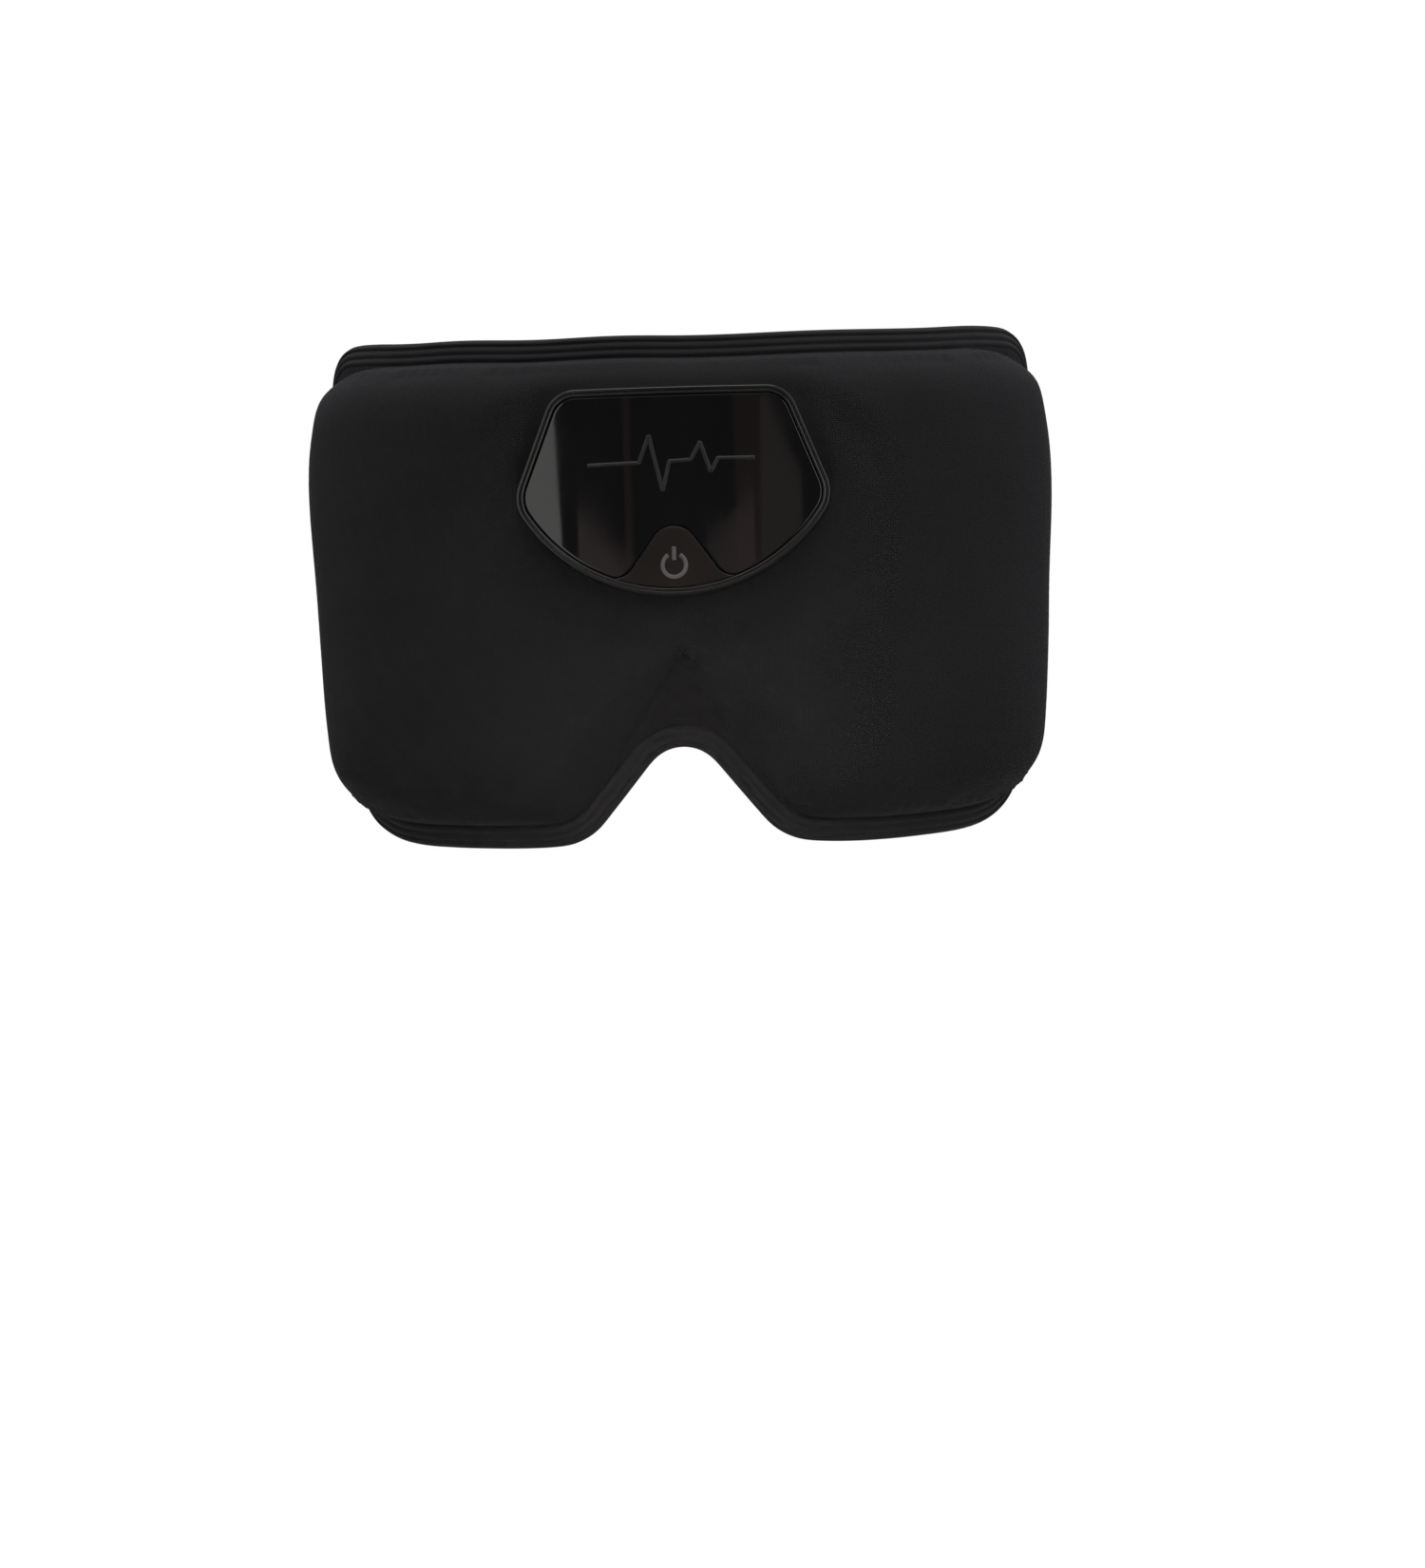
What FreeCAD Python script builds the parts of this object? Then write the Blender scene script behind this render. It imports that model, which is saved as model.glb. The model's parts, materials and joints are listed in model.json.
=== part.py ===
import FreeCAD, Part
import math
import os
import re
import Sketcher

# Eye massager mask, worn position, millimetres.
# +X is the wearer's left, the front faces -Y and +Z is up.  The origin is where the middle of the mask
# touches the brow.  The soft body is wrapped about an upright line, the face line, at y = face_radius,
# so most sizes are a radius from that line, an angle about it and a height.  Depths are distances in
# front of the origin, along -Y.

SIZES = {
    # soft body: layers, counted outwards from the face line
    "face_radius": 88,
    "lining_thick": 1.6,
    "heater_in": 89.65,
    "heater_out": 89.9,
    "flange_in": 89.8,
    "flange_out": 92.2,
    "pad_in": 90.2,
    "pad_out": 94,
    "foam_in": 94.2,
    "foam_out": 104.4,
    "cavity_out": 104.6,
    "dome_out": 107,
    "layer_gap": 0.2,
    # soft body: outline
    "half_angle": 64.5,
    "half_height": 58,
    "dome_half_angle": 60.45,
    "dome_half_height": 51.5,
    "cavity_half_angle": 58.95,
    "cavity_half_height": 49.1,
    "top_round": 18,
    "bottom_round": 28,
    "dome_top_round": 16,
    "dome_bottom_round": 22,
    "dome_edge_round": 14,
    "cavity_edge_round": 11.6,
    # nose notch
    "notch_top": -36.6,
    "notch_radius": 10,
    "notch_slope": 50,
    "notch_foot_round": 8,
    "dome_foot_round": 18,
    "dome_border": 6.5,
    "cavity_border": 9,
    # nose valley: a V of low ground from the brow down to the notch, between the two domes
    "valley_top": -13,
    "valley_half": 27,
    "valley_foot": -60,
    "valley_head_depth": 19.2,
    "valley_floor_depth": 5.6,
    "valley_floor_top": -30,
    "cover_wall": 2.4,
    # eye cups
    "cup_angle": 21.3,
    "cup_height": -16,
    "cup_half_width": 23,
    "cup_half_height": 17,
    "cup_depth": 10,
    "cup_wall": 1.6,
    # heater films
    "heater_angle": 23.5,
    "heater_half_angle": 20.5,
    "heater_low": -41,
    "heater_high": 18,
    "heater_round": 6,
    "heater_border": 11,
    # control module outline
    "module_top": 44,
    "module_top_half": 25.9,
    "module_slope": 68,
    "module_arc": 40,
    "module_bottom": -2,
    "module_top_round": 7,
    "module_side_round": 8,
    # control module layers
    "seat_radius": 105.2,
    "seat_cavity": 102.8,
    "seat_border": 4,
    "housing_in": 105.3,
    "housing_wall_in": 109.3,
    "tape_in": 110.8,
    "lens_in": 111,
    "lens_out": 112.5,
    "button_out": 112.7,
    "rim_out": 112.9,
    "rim_wide": 1.6,
    "housing_wall": 1.8,
    "lens_gap": 0.15,
    "clamp_in": 100.6,
    "clamp_out": 102.6,
    "cover_hole_border": 3,
    "neck_border": 3.3,
    "neck_wall": 1.6,
    "rear_depth": 7,
    "rear_wall": 1.6,
    # power button
    "button_top": 13.3,
    "button_top_round": 5.5,
    "button_slope": 54.8,
    "button_flank": 8.3,
    "button_flare": 5,
    "button_bottom": -0.25,
    "button_gap": 0.15,
    "button_lip": 1,
    "button_lip_back": 19.5,
    "button_lip_front": 20.3,
    # electronics
    "pcb_back": 16.8,
    "pcb_thick": 1,
    "pcb_border": 6,
    "chip_thick": 0.9,
    "lamp_tall": 0.7,
    "connector_wide": 4,
    "connector_thick": 1.5,
    "connector_tall": 9,
    "switch_height": 5.5,
    "switch_wide": 4.5,
    "switch_thick": 1,
    "switch_well": 0.9,
    "plunger_radius": 0.9,
    "plunger_long": 0.95,
    "plunger_gap": 0.1,
    "pad_ring_in": 3.4,
    "pad_ring_out": 4.2,
    "battery_wide": 34,
    "battery_tall": 22,
    "battery_thick": 5,
    "battery_depth": 10.4,
    "battery_low": 15,
    "screw_radius": 0.8,
    "screw_gap": 0.04,
    "screw_head_radius": 1.6,
    "screw_head_thick": 1,
    "screw_tip": 18,
    "boss_radius": 2.1,
    "post_radius": 1.2,
    "boss_split": 13,
    "usb_wide": 8.94,
    "usb_tall": 3.16,
    "usb_long": 7.3,
    "usb_round": 1.5,
    "usb_skin": 0.3,
    "usb_mouth": 43.9,
    "usb_slot_gap": 0.2,
    "tongue_wide": 6.7,
    "tongue_thick": 0.7,
    "tongue_back": 6.3,
    # vibration motors
    "motor_radius": 5,
    "motor_base": 0.3,
    "motor_tall": 2.7,
    "motor_skin": 0.25,
    "motor_seat": 94.3,
    "motor_room": 0.3,
    "shaft_radius": 0.4,
    "shaft_gap": 0.04,
    "shaft_tall": 2.3,
    "magnet_in": 1.6,
    "magnet_out": 3.6,
    "magnet_thick": 0.6,
    "rotor_hub": 1.1,
    "rotor_radius": 4.2,
    "rotor_thick": 1,
    "rotor_lift": 1.05,
    "rotor_span": 200,
    # wires
    "wire_radius": 0.6,
    "wire_room": 0.3,
    "wire_layer": 95.6,
    "exit_side": 21.2,
    # strap
    "strap_wide": 30,
    "strap_thick": 1.6,
    "tab_start": 55,
    "tab_run": 3,
    "tab_bend": 12,
    "strap_gap": 0.2,
    "ring_bar": 1.1,
    "ring_near": 64,
    "ring_far": 73,
    "ring_half_height": 16.7,
    "ring_bend": 2,
    "ring_tilt_room": 0.9,
    "tab_tail": 5,
    "strap_bend_y": 128,
    "strap_bend": 66,
    "strap_end_y": 60,
    "return_start": 76,
    "return_end": 106,
    "slider_y": 117,
    "slider_half_long": 10,
    "slider_bar_wide": 4,
    "slider_bar_thick": 2,
    "slider_rail": 2.4,
    "slider_pin": 1,
    "slider_room": 0.3,
}

MOTORS = {1: (36, 22), 2: (46, -20), 3: (-36, 22), 4: (-46, -20)}  # number: angle from the front, height
SCREWS = ((-20, 37), (20, 37), (-17, 10), (17, 10))  # x, z
POSTS = ((-23, 27), (23, 27))  # x, z
CHIPS = {  # name: x, z, width
    "controller": (-14, 21, 6),
    "motor_driver": (9, 24, 4),
    "charger": (6, 31, 3),
    "inductor": (-12, 30, 3),
}
CAPACITORS = (-9, -6, 6, 9, 12)  # x
SIDES = {"left": 1, "right": -1}  # the wearer's sides

doc = FreeCAD.newDocument("eye_massager_mask")
sheet = doc.addObject("Spreadsheet::Sheet", "Sizes")
for row, (alias, number) in enumerate(SIZES.items(), 1):
    sheet.set("A%d" % row, str(number))
    sheet.setAlias("A%d" % row, alias)
doc.recompute()

kept = []


# ---------------------------------------------------------------- helpers

def size(alias):
    """The number in a cell of the sheet."""
    return float(sheet.get(alias))


def vec(x, y, z=0.0):
    return FreeCAD.Vector(x, y, z)


def bind(thing, prop, text):
    """Bind a property to cells: every alias in the text becomes a reference to the sheet."""
    def cell(word):
        return "Sizes." + word.group() if word.group() in SIZES else word.group()
    thing.setExpression(prop, re.sub(r"[a-z_]{3,}", cell, text))


def keep(thing, label):
    """Name an object as a finished sub-part."""
    thing.Label = label
    kept.append(thing)
    return thing


def on_face(angle, radius, height):
    """A point given by its angle from the front, its radius from the face line and its height."""
    turn = math.radians(angle)
    return vec(radius * math.sin(turn), size("face_radius") - radius * math.cos(turn), height)


def facing_out(angle, radius, height):
    """A placement whose own Z axis points outwards from the face line."""
    turn = math.radians(angle)
    out = vec(math.sin(turn), -math.cos(turn), 0)
    return FreeCAD.Placement(on_face(angle, radius, height), FreeCAD.Rotation(vec(0, 0, 1), out))


def boolean(kind, first, second):
    thing = doc.addObject("Part::" + kind, kind.lower())
    thing.Base = first
    thing.Tool = second
    return thing


def cut(first, *tools):
    for tool in tools:
        first = boolean("Cut", first, tool)
    return first


def common(first, second):
    return boolean("Common", first, second)


def fuse(*things):
    thing = doc.addObject("Part::MultiFuse", "fuse")
    thing.Shapes = list(things)
    return thing


def frozen(name, shape):
    """A shape made with Part's own functions, from sizes read off the sheet."""
    thing = doc.addObject("Part::Feature", name)
    thing.Shape = shape
    return thing


def cylinder(name, radius, tall, placement):
    thing = doc.addObject("Part::Cylinder", name)
    bind(thing, "Radius", radius)
    bind(thing, "Height", tall)
    thing.Placement = placement
    return thing


def box(name, wide, deep, tall, corner):
    """A box with its corner at three expressions."""
    thing = doc.addObject("Part::Box", name)
    for prop, text in zip(("Length", "Width", "Height"), (wide, deep, tall)):
        bind(thing, prop, text)
    for letter, text in zip("xyz", corner):
        bind(thing, "Placement.Base." + letter, text)
    return thing


def drum(name, radius):
    """A tall drum about the face line."""
    tall = 2 * size("half_height") + 40
    thing = doc.addObject("Part::Cylinder", name)
    bind(thing, "Radius", radius)
    thing.Height = tall
    bind(thing, "Placement.Base.y", "face_radius")
    thing.Placement.Base.z = -tall / 2
    return thing


def between(prism, inner, outer):
    """The part of a prism that lies between two radii."""
    return cut(common(prism, drum("outer_drum", outer)), drum("inner_drum", inner))


# ---------------------------------------------------------------- outlines in the front plane

def draw(sketch, edges):
    for edge in edges:
        sketch.addGeometry(edge, False)


def front_sketch(name, edges):
    """A sketch in the XZ plane, facing forwards."""
    sketch = doc.addObject("Sketcher::SketchObject", name)
    sketch.Placement = FreeCAD.Placement(vec(0, 0, 0), FreeCAD.Rotation(vec(1, 0, 0), 90))
    draw(sketch, edges)
    return sketch


def grown(outline, amount):
    """The outline moved outwards, or inwards if the amount is negative."""
    thing = doc.addObject("Part::Offset2D", "outline")
    thing.Source = outline
    bind(thing, "Value", amount)
    return thing


def prism(name, outline, back, front):
    """The outline run forwards from one depth to another."""
    thing = doc.addObject("Part::Extrusion", name)
    thing.Base = outline
    thing.DirMode = "Custom"
    thing.Dir = vec(0, -1, 0)
    thing.Solid = True
    bind(thing, "LengthFwd", front)
    bind(thing, "LengthRev", "-(%s)" % back)
    return thing


def arc_about(centre, radius, start, end):
    """An arc in a sketch, between two angles in degrees, counter-clockwise."""
    circle = Part.Circle(centre, vec(0, 0, 1), radius)
    return Part.ArcOfCircle(circle, math.radians(start), math.radians(end))


def notch_edges(border):
    """The nose notch: a round top, two straight flanks and a foot well below the mask."""
    slope = size("notch_slope")
    lean = math.radians(slope)
    radius = size("notch_radius") + border
    centre = vec(0, size("notch_top") - size("notch_radius"))
    foot_z = -size("half_height") - 20
    top = vec(centre.x + radius * math.sin(lean), centre.y + radius * math.cos(lean))
    run = (top.y - foot_z) / math.tan(lean)
    foot = vec(top.x + run, foot_z)
    mirror_top = vec(-top.x, top.y)
    mirror_foot = vec(-foot.x, foot.y)
    return [
        arc_about(centre, radius, 90 - slope, 90 + slope),
        Part.LineSegment(mirror_top, mirror_foot),
        Part.LineSegment(mirror_foot, foot),
        Part.LineSegment(foot, top),
    ]


def module_edges():
    """The control module: flat top, sloping sides and one big arc below, with rounded corners."""
    slope = math.radians(size("module_slope"))
    big = size("module_arc")
    top = size("module_top")
    round_top = size("module_top_round")
    round_side = size("module_side_round")
    centre = vec(0, size("module_bottom") + big)
    along = vec(math.cos(slope), -math.sin(slope))
    inward = vec(-math.sin(slope), -math.cos(slope))
    corner = vec(size("module_top_half"), top)
    trim = round_top * math.tan(slope / 2)
    top_end = corner - vec(trim, 0)
    side_start = corner + along * trim
    top_centre = vec(top_end.x, top - round_top)
    line = corner + inward * round_side - centre
    half_b = line.dot(along)
    reach = -half_b + math.sqrt(half_b ** 2 - line.dot(line) + (big - round_side) ** 2)
    side_centre = corner + inward * round_side + along * reach
    side_end = corner + along * reach
    out = (side_centre - centre).normalize()
    arc_start = side_centre + out * round_side
    side_mid = side_centre + (out - inward).normalize() * round_side
    top_mid = top_centre + (vec(0, 1) - inward).normalize() * round_top

    def flip(point):
        return vec(-point.x, point.y)

    edges = [Part.LineSegment(flip(top_end), top_end)]
    for turn in (lambda point: point, flip):
        edges.append(Part.Arc(turn(top_end), turn(top_mid), turn(side_start)))
        edges.append(Part.LineSegment(turn(side_start), turn(side_end)))
        edges.append(Part.Arc(turn(side_end), turn(side_mid), turn(arc_start)))
    edges.append(Part.Arc(arc_start, centre - vec(0, big), flip(arc_start)))
    return edges


def button_edges():
    """The power button: a bell with flared feet and a base that follows the rim."""
    slope = math.radians(size("button_slope"))
    crown = size("button_top_round")
    flare = size("button_flare")
    crown_centre = vec(0, size("button_top") - crown)
    along = vec(math.cos(slope), -math.sin(slope))
    outward = vec(math.sin(slope), math.cos(slope))
    shoulder = crown_centre + outward * crown
    knee = shoulder + along * size("button_flank")
    flare_centre = knee + outward * flare
    toe = flare_centre - vec(0, flare)
    flare_mid = flare_centre - (outward + vec(0, 1)).normalize() * flare

    def flip(point):
        return vec(-point.x, point.y)

    edges = [Part.Arc(flip(shoulder), crown_centre + vec(0, crown), shoulder)]
    for turn in (lambda point: point, flip):
        edges.append(Part.LineSegment(turn(shoulder), turn(knee)))
        edges.append(Part.Arc(turn(knee), turn(flare_mid), turn(toe)))
    edges.append(Part.Arc(toe, vec(0, size("button_bottom")), flip(toe)))
    return edges


# ---------------------------------------------------------------- wrapped slabs, as PartDesign bodies

def origin_plane(body, role):
    return next(part for part in body.Origin.OriginFeatures if part.Role == role)


def body_sketch(body, role, name):
    sketch = body.newObject("Sketcher::SketchObject", name)
    sketch.AttachmentSupport = [(origin_plane(body, role), "")]
    sketch.MapMode = "FlatFace"
    return sketch


def bound_rectangle(sketch, left, right, low, high):
    """A rectangle whose four sides are bound to cells."""
    corners = [vec(-2, -1), vec(-1, -1), vec(-1, 1), vec(-2, 1)]
    for index in range(4):
        sketch.addGeometry(Part.LineSegment(corners[index], corners[(index + 1) % 4]), False)
    for index in range(4):
        sketch.addConstraint(Sketcher.Constraint("Coincident", index, 2, (index + 1) % 4, 1))
    for index, kind in enumerate(("Horizontal", "Vertical", "Horizontal", "Vertical")):
        sketch.addConstraint(Sketcher.Constraint(kind, index))
    sides = (
        ("left", "DistanceX", 0, 1, -2, left),
        ("right", "DistanceX", 0, 2, -1, right),
        ("low", "DistanceY", 0, 1, -1, low),
        ("high", "DistanceY", 2, 1, 1, high),
    )
    for name, kind, line, end, start, text in sides:
        number = sketch.addConstraint(Sketcher.Constraint(kind, -1, 1, line, end, start))
        sketch.renameConstraint(number, name)
        bind(sketch, "Constraints." + name, text)


def slab(name, inner, outer, low, high, half_angle):
    """A body wrapped about the face line, the same angle to each side of the front."""
    body = doc.addObject("PartDesign::Body", name)
    profile = body_sketch(body, "YZ_Plane", name + "_profile")
    bound_rectangle(profile, "-(%s)" % outer, "-(%s)" % inner, low, high)
    doc.recompute()
    turn = body.newObject("PartDesign::Revolution", name + "_turn")
    turn.Profile = profile
    turn.ReferenceAxis = (profile, ["V_Axis"])
    turn.Midplane = True
    bind(turn, "Angle", "2 * (%s)" % half_angle)
    bind(body, "Placement.Base.y", "face_radius")
    doc.recompute()
    return body


def round_edges(body, name, radius, wanted):
    """Fillet every edge that the test accepts."""
    doc.recompute()
    base = body.Tip
    edges = ["Edge%d" % number for number, edge in enumerate(base.Shape.Edges, 1) if wanted(edge)]
    if not edges:
        raise RuntimeError("no edge for " + name)
    fillet = body.newObject("PartDesign::Fillet", name)
    fillet.Base = (base, edges)
    bind(fillet, "Radius", radius)
    doc.recompute()
    return fillet


def middle(edge):
    return edge.valueAt((edge.FirstParameter + edge.LastParameter) / 2)


def level_line(edge):
    """True for a straight edge with no rise."""
    if edge.Curve.TypeId != "Part::GeomLine":
        return False
    return abs(edge.tangentAt(edge.FirstParameter).z) < 1e-6


def top_corner(edge):
    return level_line(edge) and middle(edge).z > 0


def bottom_corner(edge):
    return level_line(edge) and middle(edge).z < 0 and abs(middle(edge).x) > 55


def notch_foot(edge):
    return level_line(edge) and middle(edge).z < -40 and abs(middle(edge).x) < 55


def at_radius(radius):
    """A test for edges that lie all along at one radius from the body's axis."""
    def wanted(edge):
        span = edge.LastParameter - edge.FirstParameter
        points = [edge.valueAt(edge.FirstParameter + part * span) for part in (0, 0.3, 0.6, 1)]
        return all(abs(math.hypot(point.x, point.y) - radius) < 0.02 for point in points)
    return wanted


def cut_notch(body, name, border):
    """Cut the nose notch right through a body."""
    before = body.Shape.Volume
    sketch = body_sketch(body, "XZ_Plane", name + "_outline")
    draw(sketch, notch_edges(border))
    doc.recompute()
    pocket = body.newObject("PartDesign::Pocket", name)
    pocket.Profile = sketch
    pocket.Type = "ThroughAll"
    pocket.Midplane = True
    doc.recompute()
    if body.Shape.Volume >= before - 1:
        raise RuntimeError(name + " cut nothing")
    return pocket


def mask_slab(name, inner, outer, half_height, half_angle, top_round, bottom_round, border,
              edge_round=None):
    """One wrapped layer with the mask's outline: rounded corners and the nose notch."""
    body = slab(name, inner, outer, "-(%s)" % half_height, half_height, half_angle)
    cut_notch(body, name + "_notch", size(border) if border else 0)
    round_edges(body, name + "_top_corners", top_round, top_corner)
    round_edges(body, name + "_bottom_corners", bottom_round, bottom_corner)
    foot_round = "dome_foot_round" if border else "notch_foot_round"
    round_edges(body, name + "_notch_feet", foot_round, notch_foot)
    if edge_round:
        round_edges(body, name + "_edges", edge_round, at_radius(size(outer)))
    return body


# ---------------------------------------------------------------- routes: tubes and ribbons

def rounded_route(points, radii):
    """A wire of straight runs joined by tangent arcs."""
    edges = []
    at = points[0]
    for before, corner, after, radius in zip(points, points[1:], points[2:], radii):
        back = (before - corner).normalize()
        ahead = (after - corner).normalize()
        half = back.getAngle(ahead) / 2
        trim = radius / math.tan(half)
        start = corner + back * trim
        end = corner + ahead * trim
        centre = corner + (back + ahead).normalize() * (radius / math.sin(half))
        mid = centre + (corner - centre).normalize() * radius
        if (start - at).Length > 1e-6:
            edges.append(Part.LineSegment(at, start).toShape())
        edges.append(Part.Arc(start, mid, end).toShape())
        at = end
    if (points[-1] - at).Length > 1e-6:
        edges.append(Part.LineSegment(at, points[-1]).toShape())
    return Part.Wire(edges)


def swept(route, section):
    """A solid swept along a route."""
    pipe = Part.BRepOffsetAPI.MakePipeShell(route)
    pipe.setTransitionMode(1)
    pipe.add(section)
    pipe.build()
    pipe.makeSolid()
    return pipe.shape()


def start_of(route):
    edge = route.OrderedEdges[0]
    start = route.OrderedVertexes[0].Point
    tangent = edge.tangentAt(edge.FirstParameter)
    if (edge.valueAt(edge.FirstParameter) - start).Length > 1e-6:
        tangent = edge.tangentAt(edge.LastParameter) * -1
    return start, tangent


def tube(route, radius):
    start, tangent = start_of(route)
    ring = Part.Wire(Part.Circle(start, tangent, radius).toShape())
    return swept(route, ring)


def ribbon(route, thick, wide):
    """A flat band swept along a level route, upright in section."""
    start, tangent = start_of(route)
    side = tangent.cross(vec(0, 0, 1)).normalize() * (thick / 2)
    up = vec(0, 0, wide / 2)
    corners = [start + side + up, start + side - up, start - side - up, start - side + up]
    return swept(route, Part.makePolygon(corners + corners[:1]))


# ---------------------------------------------------------------- soft body

def make_notch_prism(border):
    outline = grown(notch, border)
    return prism("notch_block", outline, "-half_height", "2 * half_height")


def make_ellipsoid(name, side, wall):
    """An eye cup's outer or inner skin: a flat ellipsoid centred on the face."""
    thing = doc.addObject("Part::Ellipsoid", name)
    bind(thing, "Radius1", "cup_depth + " + wall)
    bind(thing, "Radius2", "cup_half_width + " + wall)
    bind(thing, "Radius3", "cup_half_height + " + wall)
    outward = facing_out(side * size("cup_angle"), size("face_radius"), size("cup_height"))
    # the ellipsoid's own Z is its depth, so its width is turned level
    across = outward.Rotation.multVec(vec(0, 0, 1)).cross(vec(0, 0, 1))
    turn = FreeCAD.Rotation(across * -1, vec(0, 0, 1), outward.Rotation.multVec(vec(0, 0, 1)), "ZXY")
    thing.Placement = FreeCAD.Placement(outward.Base, turn)
    return thing


def valley_block(name, growth):
    """The room over the nose valley: a V seen from the front, with a sloping floor seen from the side."""
    top = vec(0, size("valley_top"))
    left = vec(-size("valley_half"), size("valley_foot"))
    right = vec(size("valley_half"), size("valley_foot"))
    wedge = front_sketch(name + "_plan", [Part.LineSegment(top, left), Part.LineSegment(left, right),
                                          Part.LineSegment(right, top)])
    plan = prism(name + "_prism", wedge if growth == "0" else grown(wedge, growth), "-half_height", "60")
    step = 0 if growth == "0" else size("cover_wall")
    far = 60
    floor = step - size("valley_floor_depth")
    low = size("valley_foot") - 20
    points = [(-far, top.y + step), (step - size("valley_head_depth"), top.y + step),
              (floor, size("valley_floor_top") + step), (floor, low), (-far, low)]
    corners = [vec(-far, depth, height) for depth, height in points]
    side = frozen(name + "_side", Part.Face(Part.makePolygon(corners + corners[:1])))
    across = doc.addObject("Part::Extrusion", name + "_across")
    across.Base = side
    across.DirMode = "Custom"
    across.Dir = vec(1, 0, 0)
    across.LengthFwd = 2 * far
    across.Solid = True
    return common(plan, across)


def make_cover():
    """The moulded cover: a flat border, a dome with a nose valley, and a dished seat for the module."""
    flange = between(blank, "flange_in", "flange_out")
    dome = mask_slab("dome", "flange_in", "dome_out", "dome_half_height", "dome_half_angle",
                     "dome_top_round", "dome_bottom_round", "dome_border", "dome_edge_round")
    cavity = mask_slab("cavity", "flange_in - 5", "cavity_out", "cavity_half_height", "cavity_half_angle",
                       "dome_top_round - 2", "dome_bottom_round - 2", "cavity_border", "cavity_edge_round")
    seat = between(prism("seat", grown(module, "seat_border"), "0", "40"), "seat_radius", "dome_out + 10")
    seat_wall = between(prism("seat_wall", grown(module, "seat_border + 2.4"), "0", "40"),
                        "seat_cavity", "dome_out + 10")
    hole = prism("module_hole", grown(module, "-cover_hole_border"), "0", "40")
    hollow = cut(cavity, seat_wall, deep_valley)
    keep(cut(fuse(flange, cut(dome, valley_block("valley", "0"))), seat, hollow, hole), "front_cover")


def make_lining(cups):
    lining = between(blank, "face_radius", "face_radius + lining_thick")
    keep(cut(lining, *cups), "face_lining")


def make_eye_cup(side_name, side):
    """A soft moulded cup that keeps pressure off the eye."""
    outer = make_ellipsoid("cup_outer", side, "cup_wall")
    inner = make_ellipsoid("cup_inner", side, "0")
    keep(cut(outer, inner, drum("face_drum", "face_radius")), "eye_cup_" + side_name)


def make_heater(side_name, side, cup_room):
    """A thin heater film that frames the eye cup, under the lining."""
    body = slab("heater_" + side_name, "heater_in", "heater_out", "heater_low", "heater_high",
                "heater_half_angle")
    round_edges(body, "heater_corners_" + side_name, "heater_round", level_line)
    body.Placement.Rotation = FreeCAD.Rotation(vec(0, 0, 1), side * size("heater_angle"))
    keep(cut(body, cup_room, make_notch_prism("heater_border")), "heater_film_" + side_name)


def make_foams(cups, wires, motor_rooms):
    """The firm foam that fills the dome, and the soft pad on its face side."""
    core = mask_slab("core", "flange_in", "foam_out", "cavity_half_height - layer_gap",
                     "cavity_half_angle - 0.2", "dome_top_round - 2", "dome_bottom_round - 2",
                     "cavity_border", "cavity_edge_round")
    rear_room = prism("rear_room", grown(module, "layer_gap"), "rear_depth - layer_gap", "40")
    clamp_room = between(prism("clamp_room", grown(module, "layer_gap"), "0", "40"),
                         "clamp_in - layer_gap", "dome_out")
    seat_room = between(prism("seat_room", grown(module, "seat_border + 2.6"), "0", "40"),
                        "seat_cavity - layer_gap", "dome_out + 10")
    core = cut(core, valley_block("foam_valley", "cover_wall + layer_gap"))
    rooms = [rear_room, clamp_room, seat_room, *cups, *wires, *motor_rooms]
    keep(cut(core, drum("core_drum", "foam_in"), *rooms), "foam_core")
    pad = between(core, "pad_in", "pad_out")
    sensor_room = box("sensor_room", "3.4", "1.8", "2.4", ("-1.7", "-3.9", "8.8"))
    keep(cut(pad, sensor_room, *cups, *wires), "face_pad")


# ---------------------------------------------------------------- control module

def screw_rod(name, radius, back, front, x, z):
    """A rod along Y at one screw, between two depths."""
    turn = FreeCAD.Rotation(vec(1, 0, 0), 90)
    thing = cylinder(name, radius, "(%s) - (%s)" % (front, back), FreeCAD.Placement(vec(x, 0, z), turn))
    bind(thing, "Placement.Base.y", "-(%s)" % back)
    return thing


def make_housing():
    """The bezel: rim, window seat, side walls, screw bosses and board posts, and the charging slot."""
    block = between(prism("housing", module, "0", "40"), "housing_in", "rim_out")
    hollow = common(prism("housing_hollow", grown(module, "-housing_wall"), "0", "40"),
                    drum("housing_drum", "housing_wall_in"))
    window = between(prism("window", grown(module, "-rim_wide"), "0", "40"), "tape_in", "rim_out + 5")
    keyhole = prism("keyhole", grown(button, "button_gap"), "0", "40")
    shell = cut(block, hollow, window, keyhole)
    bosses = [screw_rod("boss", "boss_radius", "boss_split", "screw_tip + 2", x, z) for x, z in SCREWS]
    posts = [screw_rod("post", "post_radius", "pcb_back + pcb_thick", "screw_tip + 1.6", x, z)
             for x, z in POSTS]
    pilots = [screw_rod("pilot", "screw_radius + screw_gap", "0", "screw_tip + 0.3", x, z)
              for x, z in SCREWS]
    inside = [common(rod, drum("wall_drum", "housing_wall_in + 0.5")) for rod in bosses + posts]
    slot = common(usb_prism("usb_slot", "usb_slot_gap", "usb_mouth - 5", "8"), drum("slot_drum", "rim_out"))
    keep(cut(fuse(shell, *inside), slot, *pilots), "front_housing")


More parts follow.
